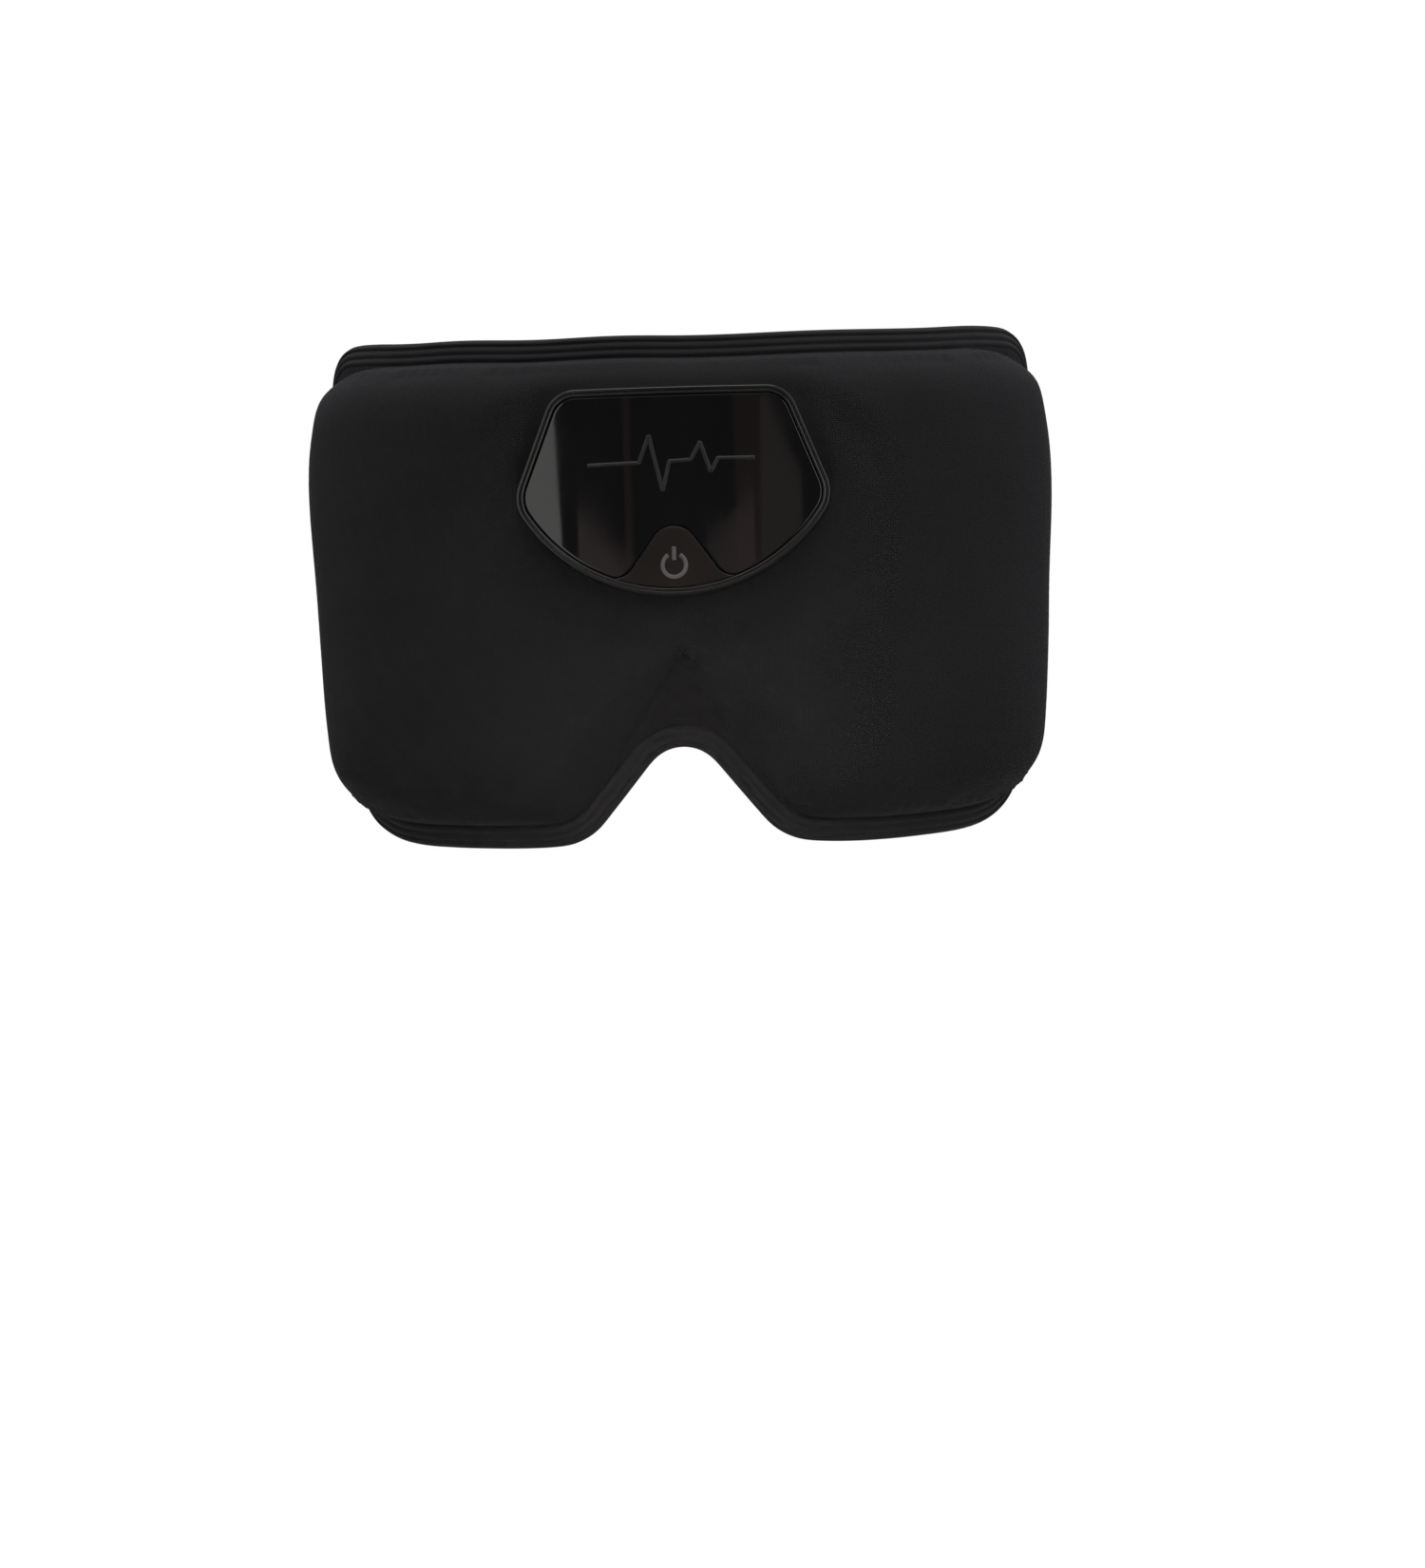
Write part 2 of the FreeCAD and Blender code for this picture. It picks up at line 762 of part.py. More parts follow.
def make_lens():
    keyhole = prism("lens_keyhole", grown(button, "button_gap"), "0", "40")
    pane = prism("pane", grown(module, "-rim_wide - lens_gap"), "0", "40")
    keep(cut(between(pane, "lens_in", "lens_out"), keyhole), "lens_panel")
    tape_keyhole = prism("tape_keyhole", grown(button, "button_gap + 0.4"), "0", "40")
    tape_outer = prism("tape", grown(module, "-rim_wide - 0.6"), "0", "40")
    tape_inner = prism("tape_inner", grown(module, "-rim_wide - 3"), "0", "40")
    band = cut(between(tape_outer, "tape_in + 0.02", "lens_in - 0.02"), tape_inner, tape_keyhole)
    keep(band, "lens_tape")


def make_button():
    """The power key, held behind the window wall by a lip."""
    cap = common(prism("button_cap", button, "button_lip_front", "40"), drum("button_drum", "button_out"))
    lip = common(prism("button_lip", grown(button, "button_lip"), "button_lip_back", "button_lip_front"),
                 prism("lip_room", grown(module, "-housing_wall - 0.3"), "0", "40"))
    keep(fuse(cap, lip), "power_button")
    turn = FreeCAD.Rotation(vec(1, 0, 0), 90)
    plunger = cylinder("plunger", "plunger_radius", "plunger_long", FreeCAD.Placement(vec(0, 0, 0), turn))
    bind(plunger, "Placement.Base.y", "-(button_lip_back - plunger_long)")
    bind(plunger, "Placement.Base.z", "switch_height")
    keep(plunger, "tact_switch_plunger")
    rings = []
    for radius in ("pad_ring_out", "pad_ring_in"):
        ring = cylinder("pad_ring", radius, "button_lip_back - pcb_back - pcb_thick - 0.04",
                        FreeCAD.Placement(vec(0, 0, 0), turn))
        bind(ring, "Placement.Base.y", "-(pcb_back + pcb_thick + 0.02)")
        bind(ring, "Placement.Base.z", "switch_height")
        rings.append(ring)
    keep(cut(*rings), "button_return_pad")


def make_rear_shell():
    """The rear case: a neck through the cover, a flange that clamps it, and four counterbored bosses."""
    flange = between(prism("clamp", module, "0", "40"), "clamp_in", "clamp_out")
    neck = common(prism("neck", grown(module, "-neck_border"), "rear_depth", "40"),
                  drum("neck_drum", "housing_in - 0.1"))
    hollow = prism("neck_hollow", grown(module, "-neck_border - neck_wall"), "rear_depth + rear_wall", "40")
    bosses = [screw_rod("rear_boss", "boss_radius", "rear_depth", "boss_split", x, z) for x, z in SCREWS]
    holes = [screw_rod("rear_hole", "screw_radius + 0.2", "0", "40", x, z) for x, z in SCREWS]
    heads = [screw_rod("rear_recess", "screw_head_radius + 0.2", "0", "rear_depth + 1.2", x, z)
             for x, z in SCREWS]
    wires = [tube(route, size("wire_radius") + size("wire_room")) for route in wire_routes.values()]
    ways = [frozen("wire_way", shape) for shape in wires]
    keep(cut(fuse(cut(fuse(flange, neck), hollow), *bosses), *holes, *heads, *ways), "rear_shell")


def make_screws():
    parts = []
    for x, z in SCREWS:
        parts.append(screw_rod("shank", "screw_radius", "rear_depth + 1.2", "screw_tip", x, z))
        parts.append(screw_rod("head", "screw_head_radius", "rear_depth + 1.2 - screw_head_thick",
                               "rear_depth + 1.2", x, z))
    keep(fuse(*parts), "housing_screws")


def make_board():
    """The circuit board, its chips, its connectors and its status lamps."""
    board = common(prism("board", grown(module, "-pcb_border"), "pcb_back", "pcb_back + pcb_thick"),
                   drum("board_drum", "housing_wall_in - layer_gap"))
    rooms = [screw_rod("board_notch", "boss_radius + 0.2", "0", "40", x, z) for x, z in SCREWS]
    keep(cut(board, *rooms), "main_pcb")
    front = "-(pcb_back + pcb_thick + chip_thick)"
    chips = [box(name, str(wide), "chip_thick", str(wide), (str(x), front, str(z)))
             for name, (x, z, wide) in CHIPS.items()]
    chips += [box("capacitor", "1.2", "chip_thick", "0.8", (str(x), front, "17")) for x in CAPACITORS]
    keep(fuse(*chips), "control_chips")
    lamp_front = "-(pcb_back + pcb_thick + lamp_tall)"
    lamps = [box("lamp", "1.6", "lamp_tall", "0.8", (x, lamp_front, "13.6")) for x in ("-3.2", "1.6")]
    keep(fuse(*lamps), "status_leds")
    sockets = [box("wire_socket", "connector_wide", "connector_thick", "connector_tall",
                   (x, "-pcb_back", "18.5")) for x in ("-19.2 - connector_wide", "19.2")]
    keep(fuse(*sockets), "wire_connectors")


def make_switch():
    """The switch body, with a well for its plunger."""
    corner = ("-switch_wide / 2", "-(pcb_back + pcb_thick + switch_thick)",
              "switch_height - switch_wide / 2")
    block = box("switch", "switch_wide", "switch_thick", "switch_wide", corner)
    turn = FreeCAD.Rotation(vec(1, 0, 0), 90)
    well = cylinder("well", "plunger_radius + plunger_gap", "5", FreeCAD.Placement(vec(0, 0, 0), turn))
    bind(well, "Placement.Base.y", "-(pcb_back + pcb_thick + switch_thick - switch_well)")
    bind(well, "Placement.Base.z", "switch_height")
    keep(cut(block, well), "tact_switch_body")


def make_battery():
    corner = ("-battery_wide / 2", "-(battery_depth + battery_thick)", "battery_low")
    keep(box("cell", "battery_wide", "battery_thick", "battery_tall", corner), "battery")
    pad_corner = ("-battery_wide / 2 + 2", "-battery_depth + 0.02", "battery_low + 2")
    keep(box("foam_tape", "battery_wide - 4", "battery_depth - rear_depth - rear_wall - 0.04",
             "battery_tall - 4", pad_corner), "battery_tape")


def usb_prism(name, growth, low, tall):
    """A round-ended upright prism with the socket's outline, grown by an amount."""
    half = "(usb_wide / 2 - usb_round)"
    depth = "-(pcb_back + pcb_thick + usb_tall / 2)"
    ends = []
    for side in ("-", ""):
        end = cylinder(name + "_end", "usb_round + " + growth, tall, FreeCAD.Placement())
        bind(end, "Placement.Base.x", side + half)
        bind(end, "Placement.Base.y", depth)
        bind(end, "Placement.Base.z", low)
        ends.append(end)
    centre = box(name + "_middle", "usb_wide - 2 * usb_round", "2 * (usb_round + %s)" % growth, tall,
                 ("-usb_wide / 2 + usb_round", depth + " - usb_round - " + growth, low))
    return fuse(centre, *ends)


def make_usb():
    """The charging socket: a thin steel shell, open upwards, and the tongue inside it."""
    outer = usb_prism("usb_outer", "0", "usb_mouth - usb_long", "usb_long")
    inner = usb_prism("usb_inner", "-usb_skin", "usb_mouth - usb_long + 0.8", "usb_long")
    keep(cut(outer, inner), "usb_shell")
    tongue = box("tongue", "tongue_wide", "tongue_thick", "tongue_back - 0.3",
                 ("-tongue_wide / 2", "-(pcb_back + pcb_thick + usb_tall / 2 + tongue_thick / 2)",
                  "usb_mouth - usb_long + 0.85"))
    keep(tongue, "usb_tongue")


# ---------------------------------------------------------------- motors, sensor and wires

def local(name, radius, tall, place, lift):
    """A cylinder on a motor's axis, lifted above its seat."""
    shift = FreeCAD.Placement(vec(0, 0, lift), FreeCAD.Rotation())
    return cylinder(name, radius, tall, place.multiply(shift))


def make_motor(number, angle, height):
    """A coin vibration motor: base with shaft, magnet ring, off-centre rotor and case."""
    place = facing_out(angle, size("motor_seat"), height)
    floor = size("motor_base")
    base = local("base", "motor_radius", "motor_base", place, 0)
    shaft = local("shaft", "shaft_radius", "shaft_tall", place, floor)
    keep(fuse(base, shaft), "motor_base_%d" % number)
    ring = cut(local("magnet", "magnet_out", "magnet_thick", place, floor),
               local("magnet_hole", "magnet_in", "magnet_thick", place, floor))
    keep(ring, "motor_magnet_%d" % number)
    lift = floor + size("rotor_lift")
    sector = local("sector", "rotor_radius", "rotor_thick", place, lift)
    bind(sector, "Angle", "rotor_span")
    hub = local("hub", "rotor_hub", "rotor_thick", place, lift)
    bore = local("bore", "shaft_radius + shaft_gap", "rotor_thick", place, lift)
    keep(cut(fuse(sector, hub), bore), "motor_rotor_%d" % number)
    can = local("can", "motor_radius", "motor_tall", place, floor)
    room = local("can_room", "motor_radius - motor_skin", "motor_tall - motor_skin", place, floor)
    keep(cut(can, room), "motor_case_%d" % number)


def motor_room(angle, height):
    place = facing_out(angle, size("motor_seat") - 1, height)
    return cylinder("motor_room", "motor_radius + motor_room", "motor_base + motor_tall + 1.3", place)


def make_wire_routes():
    """Where each lead runs: out of the back of the module, then through the foam to its end."""
    layer = size("wire_layer")
    start = -size("pcb_back") + size("connector_thick") + 0.05
    bend = -size("rear_depth") + 0.6
    exit_x = size("exit_side")
    reach = math.degrees(size("motor_radius") / layer)
    routes = {}
    for side_name, side in SIDES.items():
        upper = 1 if side > 0 else 3
        angle, height = MOTORS[upper]
        near = on_face(side * (abs(angle) - reach - 0.1), layer + 0.3, height)
        routes["motor_leads_%d" % upper] = (
            [vec(side * exit_x, start, 25.5), vec(side * exit_x, bend, 25.5),
             on_face(side * 24, layer, 24), near],
            [2, 6])
        angle, height = MOTORS[upper + 1]
        down = on_face(angle, layer + 0.3, height + size("motor_radius") + 0.1)
        routes["motor_leads_%d" % (upper + 1)] = (
            [vec(side * exit_x, start, 20.5), vec(side * exit_x, bend, 20.5),
             on_face(side * 27, layer, 13), on_face(side * 39, layer, 7), on_face(side * 45, layer, -3),
             down],
            [2, 5, 6, 6])
        routes["heater_leads_" + side_name] = (
            [vec(side * 13, start - 1.5, 11.5), vec(side * 13, -1.35, 11.5)], [])
    routes["sensor_leads"] = ([vec(0, start - 1.5, 10), vec(0, -3.8, 10)], [])
    return {name: rounded_route(points, radii) for name, (points, radii) in routes.items()}


def make_wires():
    for name, route in wire_routes.items():
        keep(frozen(name, tube(route, size("wire_radius"))), name)
    keep(box("sensor", "3", "1.3", "2", ("-1.5", "-3.75", "9")), "temperature_sensor")


# ---------------------------------------------------------------- strap

def tab_path(side, turn):
    """The level centre line of a side tab, and where it ends pointing backwards."""
    radius = size("face_radius") - size("layer_gap") - size("strap_thick") / 2
    start = on_face(side * size("tab_start"), radius, 0)
    mid = on_face(side * (size("tab_start") + size("half_angle")) / 2, radius, 0)
    edge = on_face(side * size("half_angle"), radius, 0)
    lean = math.radians(size("half_angle"))
    ahead = vec(side * math.cos(lean), math.sin(lean))
    away = edge + ahead * size("tab_run")
    inner = vec(-side * math.sin(lean), math.cos(lean)) * turn
    centre = away + inner
    end = centre + vec(side * turn, 0)
    half = (math.pi / 2 - lean) / 2
    bend_mid = centre + vec(side * math.cos(half), -math.sin(half)) * turn
    edges = [Part.Arc(start, mid, edge), Part.LineSegment(edge, away), Part.Arc(away, bend_mid, end)]
    return [edge.toShape() for edge in edges], end


def half_turn(start, radius, side, forward):
    """A half circle from a point, towards the head, first heading along Y by forward."""
    tip = start + vec(-side * radius, forward * radius)
    end = start + vec(-side * 2 * radius, 0)
    return Part.Arc(start, tip, end).toShape(), end


def make_tabs():
    """Two woven side tabs: the wearer's left one loops round the ring, the other is sewn to the strap."""
    thick = size("strap_thick")
    wide = size("strap_wide")
    edges, end = tab_path(1, size("tab_bend"))
    bar = vec(end.x, size("ring_near"))
    radius = size("ring_bar") + 0.1 + thick / 2
    turn, after = half_turn(bar, radius, 1, 1)
    tail = after - vec(0, size("tab_tail"))
    loop = edges + [Part.LineSegment(end, bar).toShape(), turn, Part.LineSegment(after, tail).toShape()]
    keep(frozen("tab", ribbon(Part.Wire(loop), thick, wide)), "tab_left")
    edges, end = tab_path(-1, size("tab_bend"))
    last = vec(end.x, size("ring_far") + 1)
    plain = edges + [Part.LineSegment(end, last).toShape()]
    keep(frozen("tab", ribbon(Part.Wire(plain), thick, wide)), "tab_right")
    return vec(bar.x - radius, 0), -end.x


def make_ring(bar_x):
    """A wire ring: one upright in the tab's loop, the other in the strap's bend."""
    high = size("ring_half_height")
    near = size("ring_near")
    far = size("ring_far")
    half = vec(bar_x, (near + far) / 2, high)
    points = [half, vec(bar_x, far, high), vec(bar_x, far, -high), vec(bar_x, near, -high),
              vec(bar_x, near, high), half]
    route = rounded_route(points, [size("ring_bend")] * 4)
    keep(frozen("ring", tube(route, size("ring_bar"))), "strap_ring")


def make_strap(bar_x, tab_x):
    """The elastic strap: round the ring's far bar, straight back, round the head to the other tab."""
    thick = size("strap_thick")
    wide = size("strap_wide")
    bend = size("strap_bend")
    turn_y = size("strap_bend_y")
    fold = size("ring_bar") + size("ring_tilt_room") + thick / 2
    outer_x = bar_x + fold
    inner_x = bar_x - fold
    far_x = -(tab_x + thick + size("strap_gap"))
    at_ring = vec(outer_x, size("ring_far"))
    turn, inside = half_turn(at_ring, fold, 1, -1)
    back_y = turn_y + bend
    diagonal = bend * (1 - math.sqrt(0.5))
    edges = [
        Part.LineSegment(vec(inner_x, size("return_start")), inside).toShape(),
        turn,
        Part.LineSegment(at_ring, vec(outer_x, turn_y)).toShape(),
        Part.Arc(vec(outer_x, turn_y), vec(outer_x - diagonal, back_y - diagonal),
                 vec(outer_x - bend, back_y)).toShape(),
        Part.LineSegment(vec(outer_x - bend, back_y), vec(far_x + bend, back_y)).toShape(),
        Part.Arc(vec(far_x + bend, back_y), vec(far_x + diagonal, back_y - diagonal),
                 vec(far_x, turn_y)).toShape(),
        Part.LineSegment(vec(far_x, turn_y), vec(far_x, size("strap_end_y"))).toShape(),
    ]
    keep(frozen("strap", ribbon(Part.Wire(edges), thick, wide)), "strap_main")
    route = Part.Wire([Part.LineSegment(vec(inner_x, size("return_start") + 0.2),
                                        vec(inner_x, size("return_end"))).toShape()])
    keep(frozen("return", ribbon(route, thick, wide)), "strap_return")
    return inner_x, outer_x


def make_slider(inner_x, outer_x):
    """The three-bar slide: two outer bars over the strap, and a pin that the strap's end is sewn round."""
    thick = size("strap_thick")
    pin_x = inner_x + size("slider_pin") + 0.1 + thick / 2
    y = size("slider_y")
    high = size("strap_wide") / 2 + 0.4
    rail = size("slider_rail")
    bar_face = outer_x + thick / 2 + size("slider_room")
    low_x = pin_x - size("slider_pin") - 0.5
    rail_deep = "%r + slider_bar_thick" % (bar_face - low_x)
    parts = []
    for z in (high, -high - rail):
        corner = (repr(low_x), "slider_y - slider_half_long", repr(z))
        parts.append(box("rail", rail_deep, "2 * slider_half_long", "slider_rail", corner))
    for text in ("slider_y - slider_half_long", "slider_y + slider_half_long - slider_bar_wide"):
        corner = (repr(bar_face), text, repr(-high - 0.1))
        parts.append(box("bar", "slider_bar_thick", "slider_bar_wide", "strap_wide + 1", corner))
    pin = cylinder("pin", "slider_pin", "strap_wide + 1",
                   FreeCAD.Placement(vec(pin_x, y, -high - 0.1), FreeCAD.Rotation()))
    keep(fuse(*parts, pin), "strap_slider")
    start = vec(inner_x, size("return_end") + 0.2)
    at_pin = vec(inner_x, y)
    radius = pin_x - inner_x
    turn = Part.Arc(at_pin, vec(pin_x, y + radius), vec(pin_x + radius, y)).toShape()
    edges = [Part.LineSegment(start, at_pin).toShape(), turn,
             Part.LineSegment(vec(pin_x + radius, y), vec(pin_x + radius, start.y + 2)).toShape()]
    keep(frozen("end_loop", ribbon(Part.Wire(edges), thick, size("strap_wide"))), "strap_end_loop")
    print("slider pin at x", round(pin_x, 3))


# ---------------------------------------------------------------- assembly

blank = mask_slab("outline", "60", "112", "half_height", "half_angle", "top_round", "bottom_round", None)
notch = front_sketch("notch_outline", notch_edges(0))
module = front_sketch("module_outline", module_edges())
button = front_sketch("button_outline", button_edges())
wire_routes = make_wire_routes()
doc.recompute()

cup_rooms = {side_name: make_ellipsoid("cup_room", side, "cup_wall + layer_gap")
             for side_name, side in SIDES.items()}
wire_rooms = [frozen("wire_room", tube(route, size("wire_radius") + size("wire_room")))
              for route in wire_routes.values()]
motor_rooms = [motor_room(angle, height) for angle, height in MOTORS.values()]

deep_valley = valley_block("deep_valley", "cover_wall")
make_cover()
make_lining(cup_rooms.values())
make_foams(list(cup_rooms.values()), wire_rooms, motor_rooms)
for side_name, side in SIDES.items():
    make_eye_cup(side_name, side)
    make_heater(side_name, side, cup_rooms[side_name])
make_housing()
make_lens()
make_button()
make_rear_shell()
make_screws()
make_board()
make_switch()
make_battery()
make_usb()
for number, (angle, height) in MOTORS.items():
    make_motor(number, angle, height)
make_wires()
ring_at, tab_at = make_tabs()
make_ring(ring_at.x)
strap_inner, strap_outer = make_strap(ring_at.x, tab_at)
make_slider(strap_inner, strap_outer)
print("ring hinge at x", round(ring_at.x, 3))
doc.recompute()

for thing in doc.Objects:
    if "Invalid" in thing.State or "Error" in thing.State:
        raise RuntimeError("failed: %s %s" % (thing.Label, thing.State))
for thing in kept:
    if thing.Shape.isNull() or not thing.Shape.isValid() or not thing.Shape.Solids:
        raise RuntimeError("bad shape: " + thing.Label)

os.makedirs("parts", exist_ok=True)
for thing in kept:
    thing.Shape.exportStep("parts/%s.step" % thing.Label)
print(len(kept), "sub-parts written")
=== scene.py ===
import json
import math

import bpy
import numpy as np
from mathutils import Matrix, Vector, kdtree
from mathutils.geometry import delaunay_2d_cdt


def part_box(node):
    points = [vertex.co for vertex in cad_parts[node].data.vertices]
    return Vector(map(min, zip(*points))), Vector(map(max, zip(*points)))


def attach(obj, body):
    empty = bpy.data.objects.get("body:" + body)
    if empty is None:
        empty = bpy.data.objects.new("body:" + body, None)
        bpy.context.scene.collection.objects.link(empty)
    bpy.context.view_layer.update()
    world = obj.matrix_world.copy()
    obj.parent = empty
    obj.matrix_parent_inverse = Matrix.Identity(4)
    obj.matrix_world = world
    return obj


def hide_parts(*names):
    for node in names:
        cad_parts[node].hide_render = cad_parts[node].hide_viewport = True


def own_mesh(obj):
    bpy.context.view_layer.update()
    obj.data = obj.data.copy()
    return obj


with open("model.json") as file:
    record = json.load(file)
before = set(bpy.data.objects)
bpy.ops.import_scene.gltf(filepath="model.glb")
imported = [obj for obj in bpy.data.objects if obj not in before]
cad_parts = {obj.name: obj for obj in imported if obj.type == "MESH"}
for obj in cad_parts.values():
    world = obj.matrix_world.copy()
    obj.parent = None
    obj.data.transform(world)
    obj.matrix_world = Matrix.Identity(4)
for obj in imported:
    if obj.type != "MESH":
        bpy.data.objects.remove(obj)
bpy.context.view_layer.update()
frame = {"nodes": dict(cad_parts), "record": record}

# Sizes are in millimetres until a mesh is made.  The soft body is wrapped about an upright line, the face
# line, at y = FACE: a point is given by u, its distance along the flange from the middle, by its height z
# and by its radius from that line.  The lining lies at radius FACE, and the flange at FLANGE.
FACE = 88.0
FLANGE = 92.2
DOME_RISE = 14.8
DOME_EDGE = 15.0
BORDER = 5.4
# The nose valley is a V in u and z: its top, and where its right side ends.
VALLEY_TOP = -15.0
VALLEY_SIDE = (24.7, -52.0)
# Radii at the control module: the cover's seat under the rim, where the cover is matched to the module's
# outline, and the fronts of the window, the button and the rim.
SEAT = 104.6
MODULE_SPREAD = 106.0
LENS = 112.5
BUTTON = 112.7
RIM = 112.9
# Steps between points, and the smallest triangle that is kept.
OUTLINE_STEP = 0.8
COVER_STEP = 1.05
LINING_STEP = 1.5
FOAM_STEP = 1.8
COARSE = 4.0
SLIVER = 1e-7


# ---------------------------------------------------------------- plane outlines

def arc(centre, radius, start, end, step=0.35, count=None):
    """Points on an arc, both ends included; angles in degrees, counter-clockwise from +X."""
    count = count or max(3, int(abs(math.radians(end - start)) * radius / step) + 1)
    turn = np.radians(np.linspace(start, end, count))
    return np.stack([centre[0] + radius * np.cos(turn), centre[1] + radius * np.sin(turn)], 1)


def mirrored(half):
    """A closed outline from its right half, which runs counter-clockwise from the bottom to the top."""
    left = half[::-1] * np.array([-1.0, 1.0])
    return np.concatenate([half, left])


def run_of(line):
    """The distance along a line at each of its points."""
    return np.concatenate([[0], np.cumsum(np.linalg.norm(np.diff(line, axis=0), axis=1))])


def spaced(points, step, closed=True):
    """The same line with evenly spaced points."""
    line = np.concatenate([points, points[:1]]) if closed else points
    line = line[np.concatenate([[True], np.hypot(*np.diff(line, axis=0).T) > SLIVER])]
    run = run_of(line)
    count = max(3, int(round(run[-1] / step)))
    at = np.linspace(0, run[-1], count + 1)
    out = np.stack([np.interp(at, run, line[:, 0]), np.interp(at, run, line[:, 1])], 1)
    return out[:-1] if closed else out


def through(points, per_run=14):
    """A smooth line through some points."""
    p = np.array(points, float)
    p = np.concatenate([[2 * p[0] - p[1]], p, [2 * p[-1] - p[-2]]])
    out = []
    for a, b, c, d in zip(p, p[1:], p[2:], p[3:]):
        t = np.linspace(0, 1, per_run, endpoint=False)[:, None]
        out.append(0.5 * (2 * b + (c - a) * t + (2 * a - 5 * b + 4 * c - d) * t ** 2
                          + (3 * b - a - 3 * c + d) * t ** 3))
    return np.concatenate(out + [p[-2:-1]])


def eased(loop, rounds):
    """A closed line with its small unevenness smoothed away."""
    for _ in range(rounds):
        loop = 0.25 * np.roll(loop, 1, 0) + 0.5 * loop + 0.25 * np.roll(loop, -1, 0)
    return loop


def grown(loop, amount):
    """A closed counter-clockwise outline moved outwards; inwards if the amount is negative."""
    along = np.roll(loop, -1, 0) - np.roll(loop, 1, 0)
    along /= np.hypot(*along.T)[:, None]
    return loop + amount * np.stack([along[:, 1], -along[:, 0]], 1)


def away(points, loop):
    """Distance from each point to a closed outline."""
    a = loop
    b = np.roll(loop, -1, 0)
    run = b - a
    size = (run ** 2).sum(1)
    out = np.empty(len(points))
    for k in range(0, len(points), 4000):
        p = points[k:k + 4000, None, :]
        t = np.clip(((p - a) * run).sum(2) / size, 0, 1)
        out[k:k + 4000] = np.sqrt((((a + t[:, :, None] * run) - p) ** 2).sum(2).min(1))
    return out


def within(points, loop):
    """Which points are inside a closed outline."""
    x, z = points[:, :1], points[:, 1:]
    ax, az = loop[:, 0], loop[:, 1]
    bx, bz = np.roll(ax, -1), np.roll(az, -1)
    rise = np.where(bz == az, 1e-12, bz - az)
    inside = np.zeros(len(points), bool)
    for k in range(0, len(points), 8000):
        s = slice(k, k + 8000)
        crossing = ((az > z[s]) != (bz > z[s])) & (x[s] < (bx - ax) * (z[s] - az) / rise + ax)
        inside[s] = crossing.sum(1) % 2 == 1
    return inside


def depth(points, loop):
    """Signed distance to a closed outline, positive inside it."""
    return away(points, loop) * np.where(within(points, loop), 1.0, -1.0)


def body_outline():
    """The mask's cut edge, laid flat: a notch for the nose below, rounder corners below than above."""
    notch = arc((0, -45.4), 10, 90, 40)
    rest = [(16.9, -49.8), (20.2, -53.5), (24.0, -55.9), (29.3, -57.3), (42, -57.7), (58, -57.0),
            (76, -55.2), (87.0, -50.6), (93.9, -41.8), (96.4, -30), (97.9, -14), (99.4, 6), (101.6, 24),
            (103.4, 38), (103.4, 48.0), (100.6, 55.4), (94.0, 59.2), (83, 59.6), (60, 58.5), (30, 57.5),
            (0, 57.2)]
    half = np.concatenate([notch[:-1], through([notch[-1]] + rest)])
    return eased(spaced(mirrored(half), OUTLINE_STEP), 6)


def module_outline():
    """The control module: flat top, sloping sides and one big arc below, with rounded corners."""
    slope = math.radians(68)
    along = np.array([math.cos(slope), -math.sin(slope)])
    inward = np.array([-math.sin(slope), -math.cos(slope)])
    corner = np.array([25.9, 44.0])
    big, side_round, top_round = 40.0, 8.0, 7.0
    centre = np.array([0, -2.0 + big])
    line = corner + inward * side_round - centre
    half_b = line @ along
    reach = -half_b + math.sqrt(half_b ** 2 - line @ line + (big - side_round) ** 2)
    side_centre = corner + inward * side_round + along * reach
    out = side_centre - centre
    low = math.degrees(math.atan2(out[1], out[0]))
    high = math.degrees(math.atan2(-inward[1], -inward[0]))
    top_centre = (corner[0] - top_round * math.tan(slope / 2), 44.0 - top_round)
    half = np.concatenate([arc(centre, big, -90, low), arc(side_centre, side_round, low, high),
                           arc(top_centre, top_round, high, 90)])
    return spaced(mirrored(half), 0.5)


def button_outline():
    """The power button: a bell with flared feet and a base that follows the rim."""
    slope = math.radians(54.8)
    crown, flare = 5.5, 5.0
    crown_centre = np.array([0, 13.3 - crown])
    along = np.array([math.cos(slope), -math.sin(slope)])
    outward = np.array([math.sin(slope), math.cos(slope)])
    knee = crown_centre + outward * crown + along * 8.3
    flare_centre = knee + outward * flare
    toe = flare_centre - np.array([0, flare])
    low = -0.25
    bow = (toe[0] ** 2 + (toe[1] - low) ** 2) / (2 * (toe[1] - low))
    toe_turn = math.degrees(math.atan2(toe[1] - low - bow, toe[0]))
    knee_turn = math.degrees(math.atan2(-outward[1], -outward[0]))
    crown_turn = math.degrees(math.atan2(outward[1], outward[0]))
    half = np.concatenate([arc((0, low + bow), bow, -90, toe_turn)[:-1],
                           arc(flare_centre, flare, -90, knee_turn),
                           arc(crown_centre, crown, crown_turn, 90)])
    return spaced(mirrored(half), 0.3)


def ellipse(centre, half_wide, half_tall, count=120):
    """A closed ellipse."""
    turn = np.linspace(0, 2 * math.pi, count, endpoint=False)
    return np.stack([centre[0] + half_wide * np.cos(turn), centre[1] + half_tall * np.sin(turn)], 1)


# ---------------------------------------------------------------- shape helpers

def ramp(value, low, high):
    """A smooth step from 0 at low to 1 at high."""
    t = np.clip((value - low) / (high - low), 0, 1)
    return t * t * (3 - 2 * t)


def swell(t):
    """A quarter-ellipse rise from 0 at t = 0 to 1 at t = 1."""
    t = np.clip(t, 0, 1)
    return np.sqrt(1 - (1 - t) ** 2)


